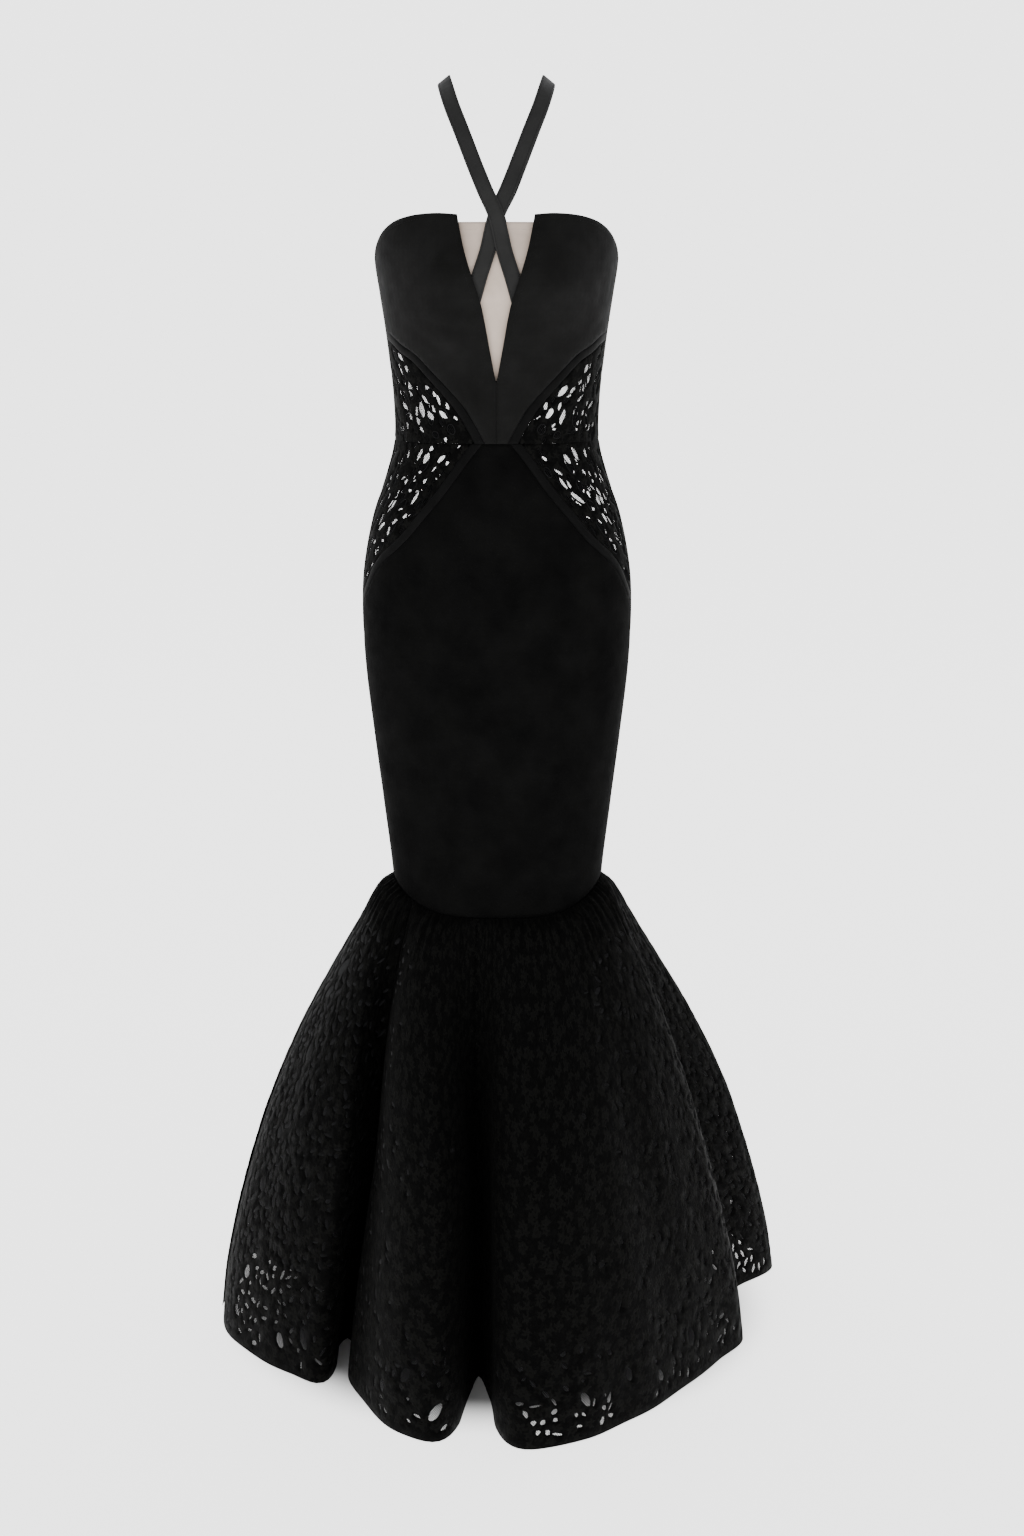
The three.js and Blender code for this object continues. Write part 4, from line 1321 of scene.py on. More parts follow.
@dataclass
class Bodice:
    """The four knit bodice panels with the V in front."""

    cut: Cut
    wardrobe: Wardrobe
    thick: float = 1.3
    stitch_width: float = 0.45
    stitch_height: float = 0.25
    hem: float = 7.0
    hem_tall: float = 0.4
    no_seam: float = 12
    seam_ridge: tuple[float, float, float] = (0.3, 3, 1.6)
    seam_groove: tuple[float, float] = (0.25, 1.2)
    front_creases: tuple[Crease, ...] = (
        Crease(58, -300, 46, 15, 0.9, 64), Crease(96, -276, 40, 13, 0.7, 74),
        Crease(40, -336, 44, 11, 0.8, 40), Crease(120, -236, 44, 13, 0.6, 18),
        Crease(30, -372, 34, 9, 0.6, 20), Crease(78, -262, 30, 10, -0.5, 80),
        Crease(146, -226, 40, 11, 0.5, 6), Crease(70, -316, 36, 8, -0.4, 56),
        Crease(108, -200, 34, 12, 0.4, 60),
    )
    back_creases: tuple[Crease, ...] = (
        Crease(52, -290, 70, 17, 0.9, 78), Crease(60, -326, 60, 14, 0.8, 70),
        Crease(100, -262, 48, 13, 0.7, 60), Crease(28, -360, 50, 12, 0.7, 50),
        Crease(40, -252, 46, 12, -0.5, 84), Crease(140, -236, 44, 12, 0.5, 8),
    )

    def border(self, place: Place) -> Array:
        """Outline of one panel on the right front.

        Args:
            place: the quarter it is for.

        Returns:
            The closed outline.
        """
        cut, half = self.cut, self.cut.seam / 2
        lower = cut.slant(True, -half)(np.linspace(0, 1, 60))
        waist = np.array([[half, cut.waist_z + half]])
        if place.is_front:
            top = cut.front_line(cut.cup_top, cut.side_top_z).along(np.linspace(0, 1, 50))
            top[:, 0] = np.minimum(top[:, 0], cut.panel_side)
            v_line = cut.front_line(cut.v_edge).along(np.linspace(0, 1, 60))
            v_line[:, 0] = np.maximum(v_line[:, 0], half)
            return np.vstack([top, lower[::-1], waist, v_line[::-1][:-1]])
        t = np.linspace(0, 1, 50)
        across = half + (cut.panel_side - half) * t
        top = np.column_stack([across, cut.back_top_z + (cut.side_top_z - cut.back_top_z) * t * t])
        return np.vstack([top, lower[::-1], waist])

    def build(self) -> None:
        """Makes the panels and the stitching of their top edges."""
        for place in Place:
            surface = self.cut.quarter(place)
            creases = self.front_creases if place.is_front else self.back_creases
            border = self.border(place)
            name = f"bodice_cloth_{place.value}"
            relief = self.hem_relief(place, border)
            cloth = Cloth(name, border, surface, self.thick, creases=creases, step=4.5, relief=relief)
            stitches = Threads(f"bodice_stitches_{place.value}", self.stitch_width)
            Stitches().along(stitches, self.stitch_line(place), surface, self.stitch_height)
            sewing = stitches.build()
            self.wardrobe.dress(sewing, THREAD, None)
            z = self.cut.v_edge[-1][1] if place.is_front else self.cut.back_top_z
            middle = np.column_stack([np.zeros(30), np.linspace(z + 2, self.cut.waist_z + 1, 30)])
            if not place.is_front:
                middle[0, 1] -= 4
            tape = seam_tape(f"bodice_tape_{place.value}", middle, surface, self.thick + 0.5)
            self.wardrobe.dress(tape, BAND, None)
            node = f"bodice_{place.value}"
            self.wardrobe.sew(cloth, node, KNIT_BODICE_PAINTED_LIT, Slot.KNIT, Held.STRETCHED, (sewing, tape))

    def free_edge(self, place: Place) -> Array:
        """The panel's free edge at the top and along the V.

        Args:
            place: the quarter.

        Returns:
            An open line.
        """
        cut = self.cut
        if not place.is_front:
            t = np.linspace(0, 1, 60)
            return np.column_stack([
                cut.panel_side * t, cut.back_top_z + (cut.side_top_z - cut.back_top_z) * t * t
            ])
        top = cut.front_line(cut.cup_top, cut.side_top_z).along(np.linspace(0, 1, 60))
        v_line = cut.front_line(cut.v_edge).along(np.linspace(0, 1, 60))
        return np.vstack([v_line[::-1], top[1:]])

    def hem_relief(self, place: Place, border: Array) -> Callable[[Array], Array]:
        """Height of the turned hem along the free edge.

        Args:
            place: the quarter.
            border: outline of the panel.

        Returns:
            Function from places to heights.
        """
        edge = self.free_edge(place)
        closed = np.vstack([edge, edge[::-1][1:-1]])

        def relief(at: Array) -> Array:
            """The hem's step, and a soft ridge along the seams.

            Args:
                at: places.

            Returns:
                Heights.
            """
            near = distance_to(at, [closed])
            ridge = seam_relief(distance_to(at, [border]), self.seam_ridge, self.seam_groove)
            return self.hem_tall * smoothstep(self.hem - near, -0.8, 0.8) + ridge * (near > self.no_seam)

        return relief

    def stitch_line(self, place: Place) -> Array:
        """Line of the stitching, a little inside the hem's edge.

        Args:
            place: the quarter.

        Returns:
            Its places.
        """
        edge = self.free_edge(place)
        along = unit(np.gradient(edge, axis=0))
        inward = np.column_stack([along[:, 1], -along[:, 0]])
        line = edge + inward * (self.hem - 1.2)
        keep = (line[:, 0] > 1.5) & (line[:, 0] < self.cut.panel_side - 2)
        return line[keep]


@dataclass
class Insets:
    """The lace insets at the waist, with their gaps, their net and their plain bands."""

    cut: Cut
    wardrobe: Wardrobe
    thick: float = 1.3
    margin: float = 2.0
    bridge: float = 1.6
    steps: int = 8
    net: Net = field(default_factory=Net)
    upper_gaps: tuple[tuple[float, ...], ...] = (
        (76, -350, 22, 8, 52), (99, -350, 21, 10, 12), (91, -379, 23, 9, 6), (76, -379, 19, 8, 16),
        (104, -386, 20, 7, -4), (61, -375, 14, 8, 45), (52, -393, 12, 8, 20), (112, -352, 18, 6, 4),
        (70, -400, 11, 7, 60), (104, -325, 12, 6, 30),
    )
    lower_gaps: tuple[tuple[float, ...], ...] = (
        (86, -482, 26, 10, -34), (84, -433, 26, 10, -22), (123, -508, 25, 10, -32),
        (59, -442, 20, 9, -28), (105, -427, 20, 8, -14), (43, -420, 20, 9, 70),
        (98, -460, 17, 9, -30), (129, -478, 22, 7, -22), (110, -482, 16, 9, -35),
        (118, -452, 18, 7, -18), (137, -531, 22, 10, -30), (103, -502, 15, 8, -42),
        (73, -462, 14, 7, -35), (148, -555, 20, 7, -24),
    )
    small_step: float = 9.5
    small_long: float = 19.0
    small_wide: float = 5.6
    small_turn: float = 40.0
    small_margin: float = 1.4
    small_bridge: float = 1.3
    cord: float = 0.7
    leans: tuple[float, float] = (40.0, -34.0)
    tape_pitch: float = 31.0
    tape_width: float = 11.0
    back_larger: float = 1.9

    def rim(self, upper: bool, share: Array) -> Array:
        """Edge of the lace along the band, from its tip to the side.

        Args:
            upper: True above the waist.
            share: shares of the edge.

        Returns:
            Its places.
        """
        distance = self.cut.band_width + self.cut.seam / 2
        start = np.where(share <= 0, self.cut.lace_tip, share)
        return self.cut.slant(upper, distance)(start)

    def border(self, upper: bool, steps: int) -> Array:
        """Closed outline of an inset.

        Args:
            upper: True for the one above the waist.
            steps: points along each long edge.

        Returns:
            The outline.
        """
        t = np.linspace(0, 1, steps + 1)
        rim = self.rim(upper, t)
        waist = self.cut.waist_z + (1 if upper else -1) * self.cut.seam / 2
        low = np.column_stack([rim[0, 0] + (self.cut.panel_side - rim[0, 0]) * t, np.full(len(t), waist)])
        low[0] = (rim[0, 0], waist)
        loop = np.vstack([rim, low[::-1]])
        apart = np.linalg.norm(loop - np.roll(loop, 1, axis=0), axis=1) > 0.02
        return loop[apart]

    def small_gaps(self, border: Array, number: int, size: float, lean: float) -> list[Gap]:
        """Small gaps scattered between the large ones, with plain diagonal stretches left free.

        Args:
            border: outline of the inset.
            number: picks their places.
            size: how large they are.
            lean: the way most of them lean, in degrees from upright.

        Returns:
            The gaps.
        """
        low, high = border.min(axis=0), border.max(axis=0)
        turn = math.radians(lean)
        gaps = []
        for j, z in enumerate(np.arange(low[1] + 3, high[1], self.small_step)):
            for i, x in enumerate(np.arange(low[0] + 3, high[0], self.small_step)):
                aside = (x - low[0]) * math.cos(turn) - (z - low[1]) * math.sin(turn)
                if aside % self.tape_pitch < self.tape_width and size <= 1:
                    continue
                a, b, c, d = (float(scatter(number + i * 7.3 + k, j * 3.1)) for k in range(4))
                gaps.append(Gap(
                    x + (a - 0.5) * 4, z + (b - 0.5) * 4, self.small_long * (0.4 + 1.0 * c) * size,
                    self.small_wide * (0.6 + 0.8 * c) * size, lean + self.small_turn * (a - d),
                ))
        return gaps

    def build(self) -> None:
        """Makes all insets and bands."""
        for index, place in enumerate(Place):
            for upper in (True, False):
                number = 40 * index + (0 if upper else 20)
                self.inset(place, upper, number)
                self.band(place, upper)

    def inset(self, place: Place, upper: bool, number: int) -> None:
        """Makes one inset with its gaps, the cord round each gap and the net in it.

        Args:
            place: the quarter.
            upper: True for the one above the waist.
            number: picks the unevenness of its gaps.
        """
        rows = self.upper_gaps if upper else self.lower_gaps
        body = self.cut.body
        large = [
            Gap(float(body.across_at(x, z)), z, long, wide, lean) for x, z, long, wide, lean in rows
        ]
        kept: list[Array] = []
        coarse = self.border(upper, self.steps)
        found = fitting_gaps(large, coarse, number, kept, self.margin, self.bridge)
        border = self.border(upper, 60)
        size = 1.0 if place.is_front else self.back_larger
        small = self.small_gaps(border, number, size, self.leans[0 if upper else 1])
        tiny = fitting_gaps(small, border, number + 500, kept, self.small_margin, self.small_bridge)
        holes = [gap.outline(k, 20) for gap, k in found] + [gap.outline(k, 12) for gap, k in tiny]
        part = f"{'upper' if upper else 'lower'}_{place.value}"
        surface = self.cut.quarter(place)
        cloth = Cloth(
            f"lace_cloth_{part}", border, surface, self.thick, holes=holes, step=3.2, edge_step=3,
            relief=self.relief(holes),
        )
        net = Threads(f"lace_net_{part}", self.net.width)
        self.net.lay(net, holes, surface, self.thick * 0.6)
        cords = Threads(f"lace_cords_{part}", self.cord, 4)
        for hole in holes[: len(found)]:
            ring = np.vstack([hole, hole[:2]])
            middle = hole.mean(axis=0)
            points, out = surface(middle + (ring - middle) * 1.07)
            cords.add(points + out * 0.1, out)
        pieces = (net.build(), cords.build())
        for piece in pieces:
            self.wardrobe.dress(piece, THREAD, None)
        self.wardrobe.sew(cloth, f"lace_{part}", LACE_INSET, Slot.LACE, Held.STRETCHED, pieces)

    @staticmethod
    def relief(holes: list[Array]) -> Callable[[Array], Array]:
        """Height of the flowers between the gaps.

        Args:
            holes: outlines of the gaps.

        Returns:
            Function from places to heights.
        """

        def height(at: Array) -> Array:
            """Cloth swells a little between the gaps and dips at their edges."""
            near = distance_to(at, holes)
            return 0.4 * smoothstep(near, 0.2, 3.4) - 0.15

        return height

    def band(self, place: Place, upper: bool) -> None:
        """Makes the plain band along the slanting edge.

        Args:
            place: the quarter.
            upper: True above the waist.
        """
        half = self.cut.seam / 2
        t = np.linspace(0, 1, 60)
        near = self.cut.slant(upper, half)(t)
        far = self.cut.slant(upper, self.cut.band_width - half)(t)
        border = np.vstack([near, far[::-1]])
        part = f"{'upper' if upper else 'lower'}_{place.value}"

        def relief(at: Array) -> Array:
            """The band is a little fuller along its middle."""
            return 0.45 * smoothstep(distance_to(at, [border]), 0.2, 3.2) - 0.15

        cloth = Cloth(
            f"band_cloth_{part}", border, self.cut.quarter(place), self.thick, step=2.4, edge_step=3,
            relief=relief, strip=self.cut.band_width,
        )
        self.wardrobe.sew(cloth, f"band_{part}", BAND, Slot.BAND, Held.STRETCHED)


@dataclass
class Skirt:
    """The skirt's front, its two back panels and the side panels."""

    cut: Cut
    wardrobe: Wardrobe
    thick: float = 1.3
    tape_half: float = 6.0
    seam_ridge: tuple[float, float, float] = (0.35, 4, 2.2)
    seam_groove: tuple[float, float] = (0.3, 1.4)
    front_creases: tuple[Crease, ...] = (
        Crease(-70, -600, 90, 22, 0.8, 78), Crease(60, -640, 110, 24, 0.7, 98),
        Crease(96, -700, 90, 22, 0.9, 70), Crease(-104, -690, 80, 20, 0.8, 108),
        Crease(-30, -860, 90, 16, 0.8, 12), Crease(44, -872, 84, 15, 0.9, -10),
        Crease(96, -884, 70, 14, 0.8, -18), Crease(-92, -890, 66, 14, 0.7, 22),
        Crease(10, -520, 80, 20, -0.6, 88), Crease(120, -800, 80, 18, 0.6, 40),
        Crease(-124, -790, 84, 18, 0.6, -38), Crease(6, -800, 100, 20, -0.5, 6),
    )
    back_creases: tuple[Crease, ...] = (
        Crease(60, -650, 100, 22, 0.9, 86), Crease(84, -720, 90, 20, 0.8, 60),
        Crease(40, -760, 80, 18, 0.7, 96), Crease(70, -868, 84, 15, 0.8, 14),
        Crease(26, -880, 76, 14, 0.7, -8), Crease(120, -840, 70, 15, 0.7, 24),
        Crease(50, -470, 60, 14, 0.6, 80), Crease(100, -600, 70, 18, 0.5, 100),
    )
    side_creases: tuple[Crease, ...] = (
        Crease(178, -470, 30, 12, 0.5, 84), Crease(182, -640, 36, 14, 0.4, 94),
        Crease(180, -840, 40, 10, 0.5, 6), Crease(179, -330, 30, 10, 0.4, 80),
    )

    def side_line(self) -> Array:
        """Right edge of the skirt from the waist to the knee.

        Returns:
            Its places.
        """
        cut = self.cut
        slanting = cut.slant(False, -cut.seam / 2)(np.linspace(0, 1, 60))
        knee = cut.knee(np.array([cut.panel_side]))[0] + cut.seam / 2
        return np.vstack([slanting, [cut.panel_side, knee]])

    def knee_line(self, left: float) -> Array:
        """Lower edge from the right side to a place on the left.

        Args:
            left: where it ends.

        Returns:
            Its places.
        """
        across = np.linspace(self.cut.panel_side, left, 90)
        return np.column_stack([across, self.cut.knee(across) + self.cut.seam / 2])

    def knee_tape(self, name: str, start: float, end: float, surface: Surface) -> bpy.types.Object:
        """Makes the turned allowance behind one panel's knee seam.

        Args:
            name: the panel.
            start: where it starts, in millimetres round the body.
            end: where it ends.
            surface: the panel's surface.

        Returns:
            The strip.
        """
        across = np.linspace(start, end, 90)
        line = np.column_stack([across, self.cut.knee(across) - 2])
        tape = seam_tape(f"knee_tape_{name}", line, surface, self.thick + 0.5, self.tape_half)
        self.wardrobe.dress(tape, LINING, None)
        return tape

    def sewn(self, border: Array) -> Callable[[Array], Array]:
        """Relief of the seams round a panel.

        Args:
            border: outline of the panel.

        Returns:
            Function from places to heights.
        """
        return lambda at: seam_relief(distance_to(at, [border]), self.seam_ridge, self.seam_groove)

    def build(self) -> None:
        """Makes the panels."""
        cut, half, body = self.cut, self.cut.seam / 2, self.cut.body
        side = self.side_line()
        front = np.vstack([side, self.knee_line(-cut.panel_side)[1:-1], (side * (-1, 1))[::-1]])
        cloth = Cloth(
            "skirt_cloth_front", front, body.surface, self.thick, creases=self.front_creases,
            step=5, relief=self.sewn(front),
        )
        tape = self.knee_tape("front", cut.panel_side, -cut.panel_side, body.surface)
        self.wardrobe.sew(cloth, "skirt_front", KNIT_SKIRT, Slot.KNIT, Held.STRETCHED, (tape,))
        back = np.vstack([side, self.knee_line(half)[1:], [[half, cut.waist_z - half]]])
        for place in (Place.BACK_L, Place.BACK_R):
            surface = cut.quarter(place)
            cloth = Cloth(
                f"skirt_cloth_{place.value}", back, surface, self.thick, creases=self.back_creases,
                step=5, relief=self.sewn(back),
            )
            tape = self.knee_tape(place.value, cut.panel_side, half, surface)
            self.wardrobe.sew(
                cloth, f"skirt_{place.value}", KNIT_SKIRT, Slot.KNIT, Held.STRETCHED, (tape,)
            )
        for name, place in (("l", Place.FRONT_L), ("r", Place.FRONT_R)):
            self.side_panels(name, cut.quarter(place))

    def side_panels(self, name: str, surface: Surface) -> None:
        """Makes the two side panels of one side.

        Args:
            name: l or r.
            surface: its surface, with right-front places.
        """
        cut, half = self.cut, self.cut.seam / 2
        start = cut.side + half
        end = cut.body.middle_back - start
        across = np.linspace(start, end, 12)
        low = cut.knee(across) + half
        # The upper side panels take the bodice knit, painted lighter as painted light; the lower ones take
        # the darker skirt knit.
        pieces = {
            "upper": (cut.side_top_z, np.full(12, cut.waist_z + half), KNIT_BODICE_PAINTED_LIT),
            "lower": (cut.waist_z - half, low, KNIT_SKIRT),
        }
        for part, (top, bottom, finish) in pieces.items():
            border = np.vstack([
                np.column_stack([across, np.full(12, top)]), np.column_stack([across, bottom])[::-1]
            ])
            cloth = Cloth(
                f"side_cloth_{part}_{name}", border, surface, self.thick, creases=self.side_creases,
                step=4, relief=self.sewn(border),
            )
            lower = part == "lower"
            tapes = (self.knee_tape(f"side_{name}", start, end, surface),) if lower else ()
            self.wardrobe.sew(
                cloth, f"side_{part}_{name}", finish, Slot.KNIT, Held.STRETCHED, tapes
            )


@dataclass
class Straps:
    """Two straps that cross at the front, pass over the shoulders and cross at the back."""

    cut: Cut
    wardrobe: Wardrobe
    width: float = 18
    thick: float = 1.4
    move: float = 1.1
    crossings: tuple[float, float] = (-154, -150)
    reach: float = 62
    stitch_in: float = 2.2
    stitch_ridge: tuple[float, float, float] = (-0.16, 2.2, 0.8)
    edge_groove: tuple[float, float] = (0.2, 0.7)
    on_front: tuple[tuple[float, ...], ...] = (
        (33, -272, 2.6), (27.5, -254, 2.6), (18.5, -222, 2.5), (9.6, -193, 1.8), (0, -154, 0.6),
    )
    over_shoulder: tuple[tuple[float, ...], ...] = (
        (-12.3, -103, -127, 18, 0), (-21.4, -95, -105, 23, 0), (-38.7, -74, -61, 32, 4),
        (-50, -54, -33, 44, 12), (-57.5, -30, -11, 62, 25), (-61, 0, 0, 90, 38),
        (-59, 28, -7, 118, 25), (-52.6, 50, -26, 137, 12), (-41.7, 69, -53, 148, 4),
        (-24, 83, -98, 158, 0), (-14.5, 88, -121, 163, 0),
    )
    on_back: tuple[tuple[float, ...], ...] = (
        (0, -150, 0.6), (10, -190, 2), (17, -212, 2.8), (24, -234, 2.8),
    )

    def lines(self) -> tuple[Spline, Spline]:
        """The middle line and the directions that the strap faces.

        Returns:
            The two, as curves with the same places.
        """
        body, points, outs = self.cut.body, [], []
        for rows, back in ((self.on_front, False), (self.over_shoulder, False), (self.on_back, True)):
            for row in rows:
                if rows is self.over_shoulder:
                    face, roll = math.radians(row[3]), math.radians(row[4])
                    points.append(np.array(row[:3], float))
                    outs.append(np.array([
                        -math.sin(roll), -math.cos(face) * math.cos(roll), math.sin(face) * math.cos(roll)
                    ]))
                    continue
                across = float(body.across_at(row[0], row[1]))
                across = body.middle_back - across if back else across
                point, out = body.surface(np.array([[across, row[1]]]))
                points.append(point[0] - out[0] * row[2])
                outs.append(out[0])
        return Spline(np.array(points), centripetal=True), Spline(np.array(outs), centripetal=True)

    def surface(self, side: int) -> tuple[Surface, float]:
        """Surface of one strap and its length.

        Args:
            side: 1 for the strap from the right cup, -1 for its mirror image.

        Returns:
            Function from places across and along the strap, and the length.
        """
        line, facing = self.lines()
        last = len(line.points) - 1
        dense = np.linspace(0, last, 900)
        run = np.concatenate([[0], np.cumsum(np.linalg.norm(np.diff(line.at(dense), axis=0), axis=1))])

        def at(places: Array) -> tuple[Array, Array]:
            """Points of the strap.

            Args:
                places: places across and along it.

            Returns:
                The points and outward directions.
            """
            t = np.interp(places[:, 1], run, dense)
            point = line.at(t)
            along = unit(line.at(np.minimum(t + 0.01, last)) - line.at(np.maximum(t - 0.01, 0)))
            width = unit(np.cross(along, facing.at(t)))
            out = unit(np.cross(width, along))
            crossing = np.where(point[:, 1] < 0, self.crossings[0], self.crossings[1])
            near = 1 - np.abs(point[:, 2] - crossing) / self.reach
            shift = side * self.move * smoothstep(near, 0, 0.5)
            point = point + width * places[:, :1] + out * shift[:, None]
            mirror = np.array([side, 1, 1])
            return point * mirror, out * mirror

        return at, float(run[-1])

    def build(self) -> None:
        """Makes both straps with a row of stitches along each edge."""
        for side, cup in ((1, "right"), (-1, "left")):
            surface, length = self.surface(side)
            half = self.width / 2
            border = np.array([[-half, 0], [half, 0], [half, length], [-half, length]])

            def relief(at: Array, border: Array = border) -> Array:
                """Soft edges and a slight dip under the stitches."""
                return seam_relief(distance_to(at, [border]), self.stitch_ridge, self.edge_groove)

            cloth = Cloth(
                f"strap_cloth_{cup}", border, surface, self.thick, step=2, edge_step=2, relief=relief
            )
            stitches = Threads(f"strap_stitches_{cup}", 0.42)
            for edge in (-1, 1):
                across = np.full(300, edge * (half - self.stitch_in))
                line = np.column_stack([across, np.linspace(2, length - 2, 300)])
                Stitches().along(stitches, line, surface, 0.1)
            sewing = stitches.build()
            self.wardrobe.dress(sewing, THREAD, None)
            node = f"strap_from_{cup}_cup"
            self.wardrobe.sew(cloth, node, KNIT_STRAP_PAINTED_LIT, Slot.KNIT, Held.STRETCHED, (sewing,))


@dataclass
class NudeMesh:
    """The nude mesh that fills the V, with its turned hem at the top."""

    cut: Cut
    wardrobe: Wardrobe
    thick: float = 1.0
    inset: float = 5.3
    hem: float = 9.0
    edge: tuple[tuple[float, float], ...] = ((58, -160), (52, -200), (42, -245), (28, -300), (12, -360))
    creases: tuple[Crease, ...] = (
        Crease(-8, -226, 44, 7, 0.7, 24), Crease(10, -236, 52, 8, 0.8, -20),
        Crease(2, -262, 40, 7, 0.7, 4), Crease(-14, -208, 26, 6, 0.5, 60),
        Crease(16, -206, 30, 6, 0.5, -52), Crease(-6, -286, 34, 6, 0.5, 14),
        Crease(8, -214, 24, 5, -0.5, 10), Crease(-2, -246, 26, 5, -0.4, -14),
        Crease(-30, -176, 22, 6, 0.4, 70), Crease(30, -174, 22, 6, 0.4, -66),
    )

    def build(self) -> None:
        """Makes the mesh with its hem's stitches."""
        line = self.cut.front_line(self.edge).along(np.linspace(0, 1, 60))
        top = np.column_stack([np.linspace(-line[0, 0], line[0, 0], 40)[1:-1], np.full(38, line[0, 1])])
        border = np.vstack([top, line, (line * (-1, 1))[::-1]])
        top_z = line[0, 1]

        def relief(at: Array) -> Array:
            """The turned hem stands out a little."""
            return 0.35 * smoothstep(self.hem - (top_z - at[:, 1]), -0.6, 0.6)

        cloth = Cloth(
            "nude_mesh", border, self.cut.body.surface, self.thick, inset=self.inset, step=2.6,
            edge_step=3, creases=self.creases, relief=relief,
        )
        stitches = Threads("nude_mesh_stitches", 0.4)
        row = np.column_stack([
            np.linspace(-line[0, 0] + 3, line[0, 0] - 3, 120), np.full(120, top_z - self.hem + 1)
        ])
        Stitches().along(stitches, row, self.cut.body.surface, 0.2 - self.inset)
        sewing = stitches.build()
        self.wardrobe.dress(sewing, NUDE_THREAD, None)
        self.wardrobe.sew(cloth, "modesty_mesh", NUDE, Slot.MESH, Held.STRETCHED, (sewing,))


@dataclass
class Flare:
    """The lace flare gathered to the knee seam, over its opaque lining."""

    cut: Cut
    wardrobe: Wardrobe
    thick: float = 1.3
    height: float = 567
    form: float = 0.55
    relaxed: float = 335
    lining_length: float = 452
    lining_inset: float = 6
    lining_side_inset: float = 24
    gather_pitch: float = 9.5
    gather_tall: float = 2.0
    reach: float = 0.05
    gap_long: float = 20
    gap_wide: float = 10
    small_rows: float = 12.5
    small_columns: float = 13.0
    small_edge: float = 8
    small_bridge: float = 3.2
    patch_chance: float = 0.5
    hem_chance: float = 0.04
    net: Net = field(default_factory=lambda: Net(1.9, 0.95, (40.0, -40.0)))
    gores: tuple[tuple[str, int, int], ...] = (
        ("front_l_side", 0, 7), ("front_l", 7, 15), ("front_r", 15, 26), ("back_r_side", 26, 32),
        ("back_r", 32, 38), ("back_l", 38, 43), ("back_l_side", 43, 46),
    )
    sections: Table = Table((
        (0, 0), (8, 0.055), (24, 0.115), (60, 0.21), (115, 0.35), (190, 0.52), (290, 0.7),
        (400, 0.855), (500, 0.96), (567, 1),
    ))
    lines: tuple[tuple[float, ...], ...] = (
        (-353, -15, -90, 0), (-333, -99, -80, 0), (-288, -167, -72, 0), (-249, -203, -66, 0),
        (-211, -226, -60, 0.1), (-195, -186, -57, 0.5), (-193, -128, -54, 0.9),
        (-186, -108, -51.5, 1), (-179, -128, -49, 0.9), (-175, -222, -45, 0.4),
        (-143, -302, -40, 0.1), (-111, -346, -34, 0), (-68, -367, -26, 0), (-42, -330, -20, 0.3),
        (-32, -250, -14, 0.8), (-22, -208, -9, 1), (-9, -262, -4, 0.8), (-1, -338, 2, 0.3),
        (29, -383, 10, 0), (102, -362, 23, 0), (156, -316, 34, 0), (198, -268, 43, 0),
        (237, -219, 52, 0), (271, -167, 61, 0), (303, -110, 71, 0), (292, -40, 81, 0.4),
        (306, 30, 90, 0.6), (366, 107, 102, 0), (330, 190, 113, 0), (268, 258, 124, 0),
        (208, 292, 133, 0.1), (176, 254, 139, 0.6), (160, 196, 144, 1), (142, 258, 149, 0.6),
        (96, 346, 158, 0), (28, 380, 169, 0), (-22, 350, 178, 0.2), (-42, 276, 184, 0.7),
        (-56, 214, 189, 1), (-74, 280, 194, 0.7), (-122, 344, 203, 0), (-192, 326, 215, 0),
        (-234, 262, 225, 0.4), (-244, 200, 233, 1), (-292, 188, 241, 0.4), (-343, 118, 254, 0),
    )
    hem_patches: tuple[tuple[float, float], ...] = (
        (1.8, 3.9), (10.2, 12.2), (18.2, 19.4), (21, 22.6), (27, 30.4), (34.2, 35.8), (40.2, 41.8),
    )
    zones: tuple[tuple[float, ...], ...] = (
        (0.4, 2, 60, 545, 9, 1), (2.2, 3.7, 480, 548, 1, 2), (9.8, 12.4, 480, 548, 1, 3),
        (18.4, 22.4, 480, 548, 1, 4), (23.2, 25.2, 30, 545, 10, 1), (26.6, 28.4, 60, 545, 9, 1),
        (29, 30.4, 480, 548, 1, 2), (34.2, 35.8, 480, 548, 1, 2), (40.2, 41.8, 480, 548, 1, 2),
        (44.4, 45.6, 60, 545, 9, 1),
    )

    def __post_init__(self) -> None:
        """Lays out the hem line and the plane that the lace is cut in."""
        rows = np.array(self.lines, float)
        self.rows = rows
        self.hem = Spline(
            np.column_stack([rows[:, :2], np.full(len(rows), self.cut.hem_z)]), True, True
        )
        self.folds = np.linspace(0, len(rows), 40 * len(rows) + 1)
        steps = np.linalg.norm(np.diff(self.hem.at(self.folds), axis=0), axis=1)
        self.run = np.concatenate([[0], np.cumsum(steps)])

    def fold_at(self, along: Array) -> Array:
        """Fold place of a place along the hem."""
        return np.interp(along, self.run, self.folds)

    def along_at(self, fold: float) -> float:
        """Place along the hem of a fold place."""
        return float(np.interp(fold, self.folds, self.run))

    def seam_angle(self, fold: Array) -> tuple[Array, Array]:
        """Where a fold line starts round the knee seam.

        Args:
            fold: places counted in fold lines.

        Returns:
            Angles in degrees, and how straight the cloth hangs there.
        """
        count = len(self.rows)
        wrapped = np.mod(fold, count)
        i = np.floor(wrapped).astype(int)
        share = wrapped - i
        a, b = self.rows[i], self.rows[(i + 1) % count]
        turn = np.where(i + 1 == count, 360, 0)
        seam = a[..., 2] + (b[..., 2] + turn - a[..., 2]) * share
        return seam, a[..., 3] + (b[..., 3] - a[..., 3]) * share

